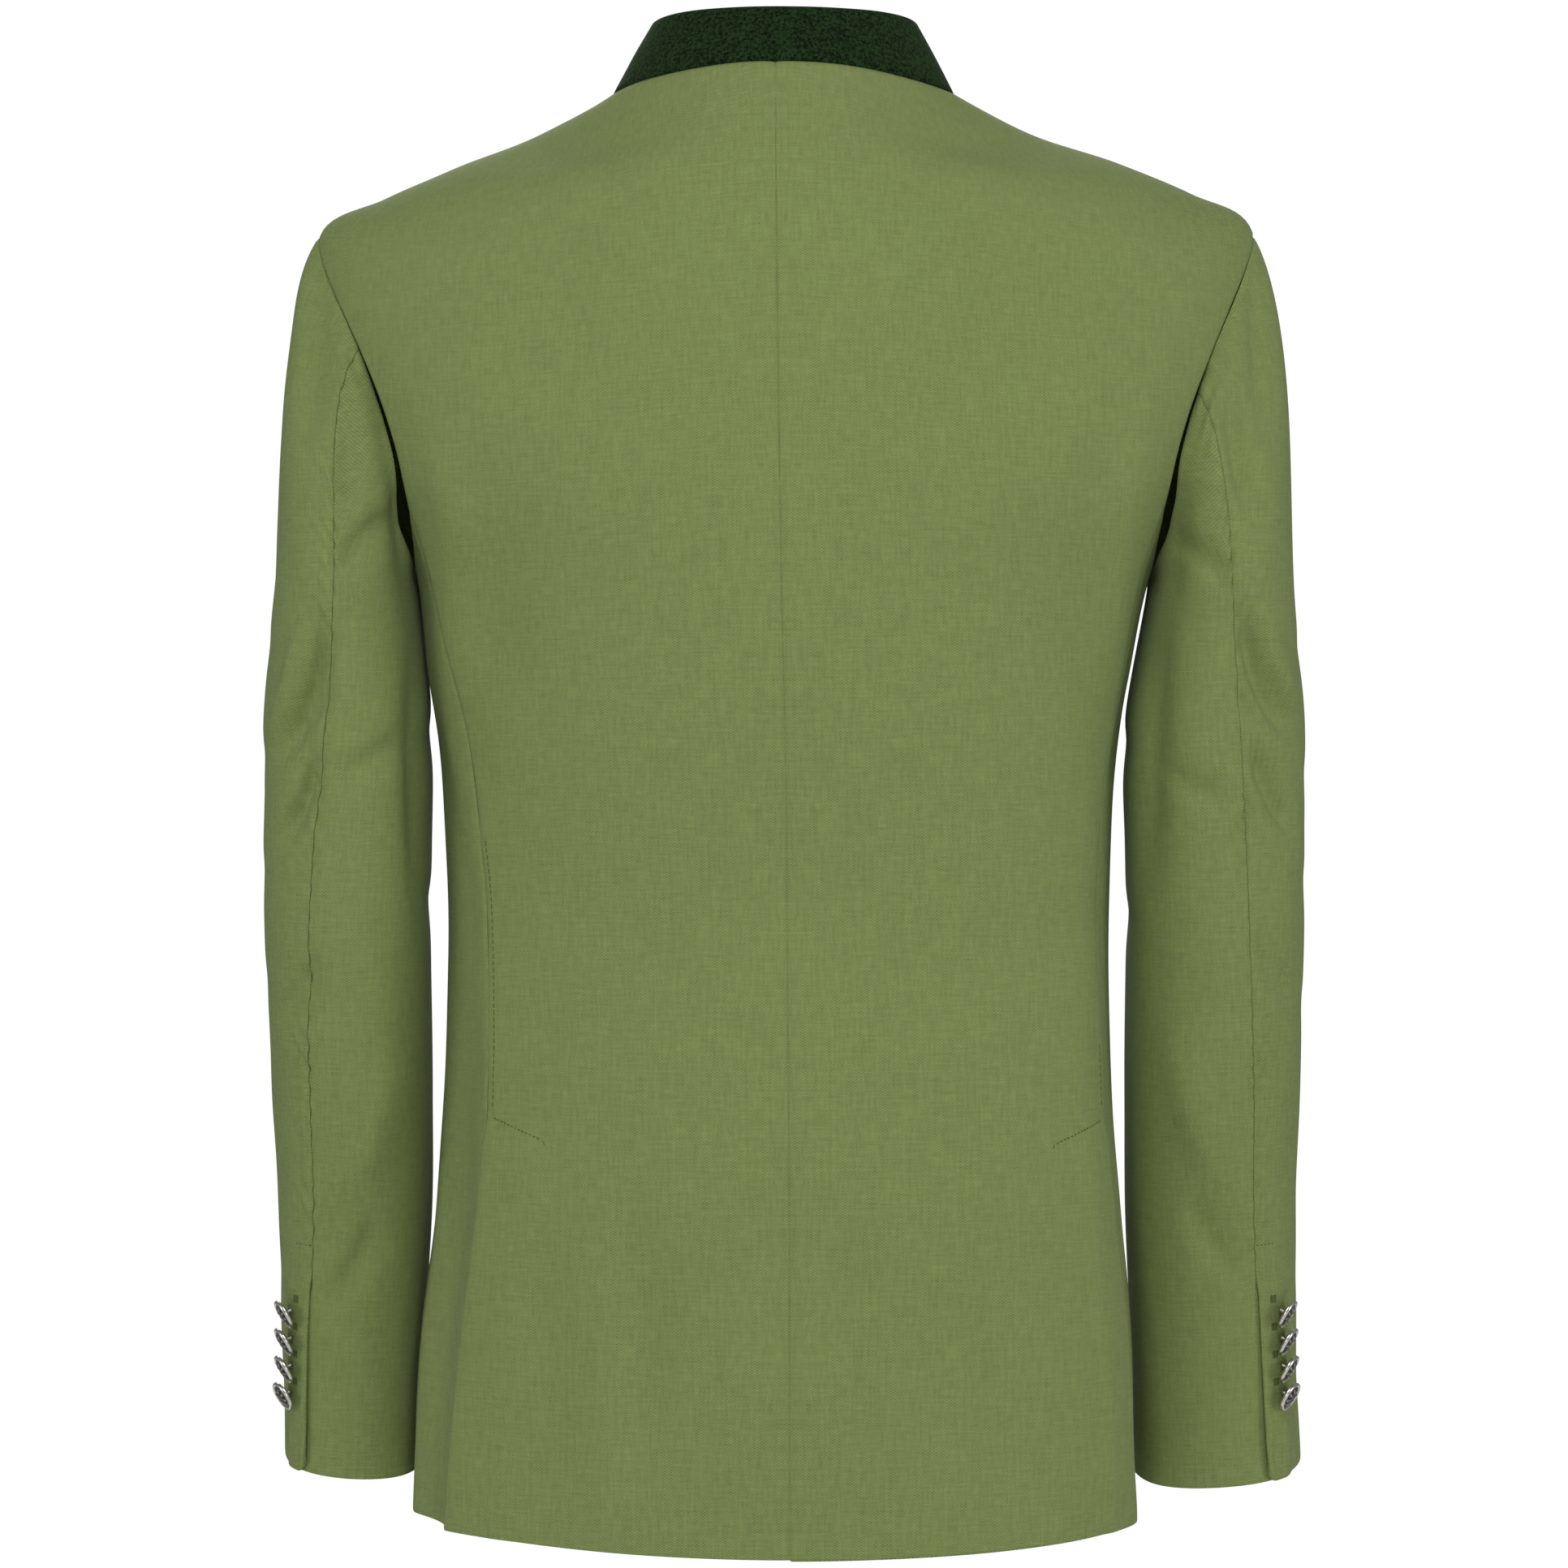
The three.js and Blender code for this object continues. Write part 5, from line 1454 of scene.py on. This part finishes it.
def collar_band():
    """The stand collar: one band of felt from end to end."""
    mm = sizes_mm()
    turn = lerp(-COLLAR_END, COLLAR_END, shares(PIECE_WIDTH["collar"], mm["cell"] * 0.8))[None, :]
    level = shares(ROW_LENGTH["collar"], mm["cell"] * 0.7)[:, None]
    neck = {name: values[0] for name, values in BODY.items()}
    foot, head = ring_point(neck, turn), ring_point(COLLAR_TOP, turn)
    rise = head - foot
    beside = ring_point(neck, turn + 0.5) - ring_point(neck, turn - 0.5)
    normal = unit(np.cross(beside, rise))
    outward = (normal * foot * np.array([1, 1, 0])).sum(axis=-1, keepdims=True)
    normal = np.where(outward < 0, -normal, normal)
    rounded = np.sqrt(1 - smooth(np.abs(turn), COLLAR_END - 12, COLLAR_END + 1) ** 2)
    start = 3 * SEAM_GAP / np.linalg.norm(rise, axis=-1)
    height = start + level * (1 - start) * lerp(1, rounded, 0.45)
    base = foot + rise * height[..., None] + normal * SEAM_GAP
    normals = np.broadcast_to(normal, base.shape).copy()
    at = from_edges(base)
    bow = 0.3 * np.sin(np.pi * level)
    lift = seam_lift(at, (), 0) * 2.2 + bow + 0.15 * wander(at["left"], SEED["collar"], 160)
    piece = cloth_piece("collar_felt", base, normals, lift, (), (0, 0), None, FELT)
    join_jacket(piece, felt_material(), "felt", "collar")


def rosette(share, theta):
    """The relief of a button's face round one of its circles: petals, veins and beads."""
    fade = smooth(-share, -PATTERN_FADES[1], -PATTERN_FADES[0])
    petals = np.cos(PETALS["count"] * theta) * smooth(share, PETALS["start"], PETALS["full"]) * fade
    veins = np.cos(VEINS["count"] * theta) * smooth(share, VEINS["start"], VEINS["full"]) * fade
    beads = -np.cos(PETALS["count"] * theta) * np.exp(-(((share - BEADS["at"]) / BEADS["wide"]) ** 2))
    return PETALS["high"] * petals + VEINS["high"] * veins + BEADS["high"] * beads


def button_rings(radius):
    """A button's points in rings, from the middle of its face to the foot of its shank, and how dark they
    are."""
    under = BUTTON_UNDER * radius
    theta = np.linspace(0, 2 * np.pi, BUTTON_AROUND, endpoint=False)
    rings, hollows = [], []

    def add(share, height, hollow):
        rings.append(stacked(share * radius * np.cos(theta), height, share * radius * np.sin(theta)))
        hollows.append(np.clip(hollow, 0, 1) * np.ones(BUTTON_AROUND))

    for share, rise in BUTTON_PROFILE[1:]:
        on_face = share < RELIEF_END and rise > FACE_ABOVE
        relief = rosette(share, theta) if on_face else 0 * theta
        hollow = TARNISH["face"] - TARNISH["per_relief"] * relief if on_face else TARNISH["rim"]
        in_ditch = DITCH[0] < share < DITCH[1] and rise > FACE_ABOVE
        add(share, under + (rise + relief) * radius, hollow + (TARNISH["ditch"] if in_ditch else 0))
    for share, rise in SHANK_PROFILE:
        add(share, under + rise * radius, TARNISH["shank"])
    return np.concatenate(rings), np.concatenate(hollows)


def button_mesh(name, radius, foot, facing):
    """A metal button with a raised rim and a plain rosette, on a shank. foot is the end of the shank."""
    points, hollow = button_rings(radius)
    index = np.arange(len(points)).reshape(-1, BUTTON_AROUND)
    after = np.roll(index, -1, axis=1)
    faces = np.stack([index[:-1], after[:-1], after[1:], index[1:]], axis=-1).reshape(-1, 4).tolist()
    top, bottom = len(points), len(points) + 1
    faces += [[top, b, a] for a, b in zip(index[0].tolist(), after[0].tolist())]
    faces += [[bottom, a, b] for a, b in zip(index[-1].tolist(), after[-1].tolist())]
    middle = (BUTTON_UNDER + BUTTON_PROFILE[0][1]) * radius
    points = np.concatenate([points, [[0, middle, 0], [0, 0, 0]]])
    spin = Vector((0, 1, 0)).rotation_difference(Vector(facing)).to_matrix()
    piece = mesh_object(name, points @ np.array(spin).T + np.array(foot), faces)
    layer = piece.data.attributes.new("hollow", "FLOAT", "POINT")
    layer.data.foreach_set("value", np.concatenate([hollow, [TARNISH["middle"], TARNISH["shank"]]]))
    return piece


def add_button(node, radius, point, normal, facing):
    """A button on the cloth at a point, whose face looks in a direction."""
    facing = np.array(facing, dtype=float) / np.linalg.norm(facing)
    tip = SHANK_CLEAR * radius * math.sin(math.acos(min(1.0, float(facing @ normal))))
    foot = point + normal * (SEAM_GAP + tip)
    piece = button_mesh(f"{node}_metal", radius, foot, facing)
    join_jacket(piece, silver_material(), "silver", node)


def cuff_buttons(word, side):
    grid = GRIDS[f"sleeve_top_{word}_cloth"]
    for i in range(CUFF_BUTTON["count"]):
        z = CUFF_BUTTON["first"] - CUFF_BUTTON["pitch"] * i
        r = int(np.argmin(np.abs(grid["outer"][:, 0, 2] - z)))
        k = int(np.argmin(np.abs(grid["left"][r] - CUFF_BUTTON["from_seam"])))
        back = CUFF_BUTTON_FACING["lowest_back" if i == CUFF_BUTTON["count"] - 1 else "back"]
        facing = (side * CUFF_BUTTON_FACING["out"], back, CUFF_BUTTON_FACING["up"])
        point = grid["outer"][r, k] + [0, 0, z - grid["outer"][r, 0, 2]]
        add_button(f"cuff_button_{word}_{i + 1}", CUFF_BUTTON["radius"], point, grid["normals"][r, k], facing)


def front_buttons():
    dense = np.linspace(0, HEM, 3201)
    centre = body_point(180.0, dense)
    for i in range(FRONT_BUTTON["count"]):
        z = FRONT_BUTTON["first"] - FRONT_BUTTON["pitch"] * i
        v = float(np.interp(-z, -centre[:, 2], dense))
        point, normal = cloth_at(180.0, v)
        add_button(f"front_button_{i + 1}", FRONT_BUTTON["radius"], point, normal, normal)


def soft_light(name, place, size, power):
    """A lamp with a soft white face that looks at the jacket."""
    data = bpy.data.lights.new(name, "AREA")
    data.shape, data.energy = "RECTANGLE", power
    data.size, data.size_y = size
    lamp = bpy.data.objects.new(name, data)
    lamp.location = place
    lamp.rotation_euler = (Vector(LIGHTS_AIM) - Vector(place)).to_track_quat("-Z", "Y").to_euler()
    bpy.context.scene.collection.objects.link(lamp)


def stage_floor():
    """A plain pale floor under the hanging jacket, with a turned-up edge."""
    theta = np.linspace(0, 2 * np.pi, FLOOR_AROUND, endpoint=False)
    points = [(r * math.cos(t), r * math.sin(t), z - FLOOR_DROP) for r, z in FLOOR_RINGS for t in theta]
    faces = []
    for ring in range(len(FLOOR_RINGS) - 1):
        for k in range(FLOOR_AROUND):
            a, b = ring * FLOOR_AROUND + k, ring * FLOOR_AROUND + (k + 1) % FLOOR_AROUND
            faces.append((a, a + FLOOR_AROUND, b + FLOOR_AROUND, b))
    faces.append(tuple(range(FLOOR_AROUND)))
    faces.append(tuple(reversed(range(len(points) - FLOOR_AROUND, len(points)))))
    mesh = bpy.data.meshes.new("floor")
    mesh.from_pydata(points, [], faces)
    floor = bpy.data.objects.new("floor", mesh)
    bpy.context.scene.collection.objects.link(floor)
    material, tree, shader = new_material("pale floor", {"Roughness": 0.9})
    place = wired(tree, "ShaderNodeTexCoord").outputs["Object"]
    colour = mixed_colour(tree, noise(tree, place, 3.0), (0.8, 0.8, 0.79, 1.0), (0.84, 0.84, 0.83, 1.0))
    tree.links.new(colour, shader.inputs["Base Color"])
    mesh.materials.append(material)


def white_surroundings():
    """Even white light from all round, which shows as a white background."""
    world = bpy.data.worlds.new("studio")
    world.use_nodes = True
    tree = world.node_tree
    background = tree.nodes["Background"]
    background.inputs["Color"].default_value = (1.0, 1.0, 1.0, 1.0)
    seen = wired(tree, "ShaderNodeLightPath").outputs["Is Camera Ray"]
    tree.links.new(scaled(tree, seen, BACKGROUND - AMBIENT, AMBIENT), background.inputs["Strength"])
    bpy.context.scene.world = world


def camera_behind():
    """The photo's camera, behind the jacket."""
    data = bpy.data.cameras.new("camera")
    data.sensor_width = SENSOR
    data.lens = SENSOR * CAMERA_DISTANCE / PHOTO_WIDTH
    camera = bpy.data.objects.new("camera", data)
    camera.location = (0.0, CAMERA_DISTANCE, CAMERA_HEIGHT)
    camera.rotation_euler = (math.radians(90), 0.0, math.radians(180))
    bpy.context.scene.collection.objects.link(camera)
    bpy.context.scene.camera = camera


class JACKET_OT_body(bpy.types.Operator):
    """Cut and sew the backs, side panels and fronts"""

    bl_idname = "jacket.body"
    bl_label = "Body panels"

    def execute(self, context):
        for word, side in SIDES:
            back_panel(word, side)
            side_panel(word, side)
            front_panel(word, side)
        return {"FINISHED"}


class JACKET_OT_sleeves(bpy.types.Operator):
    """Cut and set the two-piece sleeves"""

    bl_idname = "jacket.sleeves"
    bl_label = "Sleeves"

    def execute(self, context):
        for word, side in SIDES:
            sleeve_panels(word, side)
        return {"FINISHED"}


class JACKET_OT_collar(bpy.types.Operator):
    """Set the felt stand collar"""

    bl_idname = "jacket.collar"
    bl_label = "Collar"

    def execute(self, context):
        collar_band()
        return {"FINISHED"}


class JACKET_OT_buttons(bpy.types.Operator):
    """Sew on the cuff and front buttons"""

    bl_idname = "jacket.buttons"
    bl_label = "Buttons"

    def execute(self, context):
        for word, side in SIDES:
            cuff_buttons(word, side)
        front_buttons()
        return {"FINISHED"}


class JACKET_OT_stitching(bpy.types.Operator):
    """Sew the visible stitches: at the side vents and on the cuffs"""

    bl_idname = "jacket.stitching"
    bl_label = "Stitching"

    def execute(self, context):
        for word, side in SIDES:
            vent_stitching(word, side)
            cuff_stitching(word)
        return {"FINISHED"}


class JACKET_OT_stage(bpy.types.Operator):
    """Set up the floor, the lights and the camera"""

    bl_idname = "jacket.stage"
    bl_label = "Stage"

    def execute(self, context):
        stage_floor()
        white_surroundings()
        for name, (place, size, power) in LIGHTS.items():
            soft_light(name, place, size, power)
        camera_behind()
        context.scene.view_settings.view_transform = "Standard"
        return {"FINISHED"}


class JACKET_PT_panel(bpy.types.Panel):
    """The jacket's sizes, colours and pieces"""

    bl_label = "Jacket"
    bl_idname = "JACKET_PT_panel"
    bl_space_type = "VIEW_3D"
    bl_region_type = "UI"
    bl_category = "Jacket"

    def draw(self, context):
        layout = self.layout
        for group in (context.scene.jacket_sizes, context.scene.jacket_colours):
            for name in group.__annotations__:
                layout.prop(group, name)
        for operator in OPERATORS:
            layout.operator(operator.bl_idname)


OPERATORS = (
    JACKET_OT_body,
    JACKET_OT_sleeves,
    JACKET_OT_collar,
    JACKET_OT_buttons,
    JACKET_OT_stitching,
    JACKET_OT_stage,
)
CLASSES = (JacketSizes, JacketColours, *OPERATORS, JACKET_PT_panel)


def register():
    for each in CLASSES:
        bpy.utils.register_class(each)
    bpy.types.Scene.jacket_sizes = bpy.props.PointerProperty(type=JacketSizes)
    bpy.types.Scene.jacket_colours = bpy.props.PointerProperty(type=JacketColours)


def unregister():
    del bpy.types.Scene.jacket_colours
    del bpy.types.Scene.jacket_sizes
    for each in reversed(CLASSES):
        bpy.utils.unregister_class(each)


def main():
    register()
    bpy.ops.jacket.body()
    bpy.ops.jacket.sleeves()
    bpy.ops.jacket.collar()
    bpy.ops.jacket.buttons()
    bpy.ops.jacket.stitching()
    bpy.ops.jacket.stage()


if __name__ == "__main__":
    main()
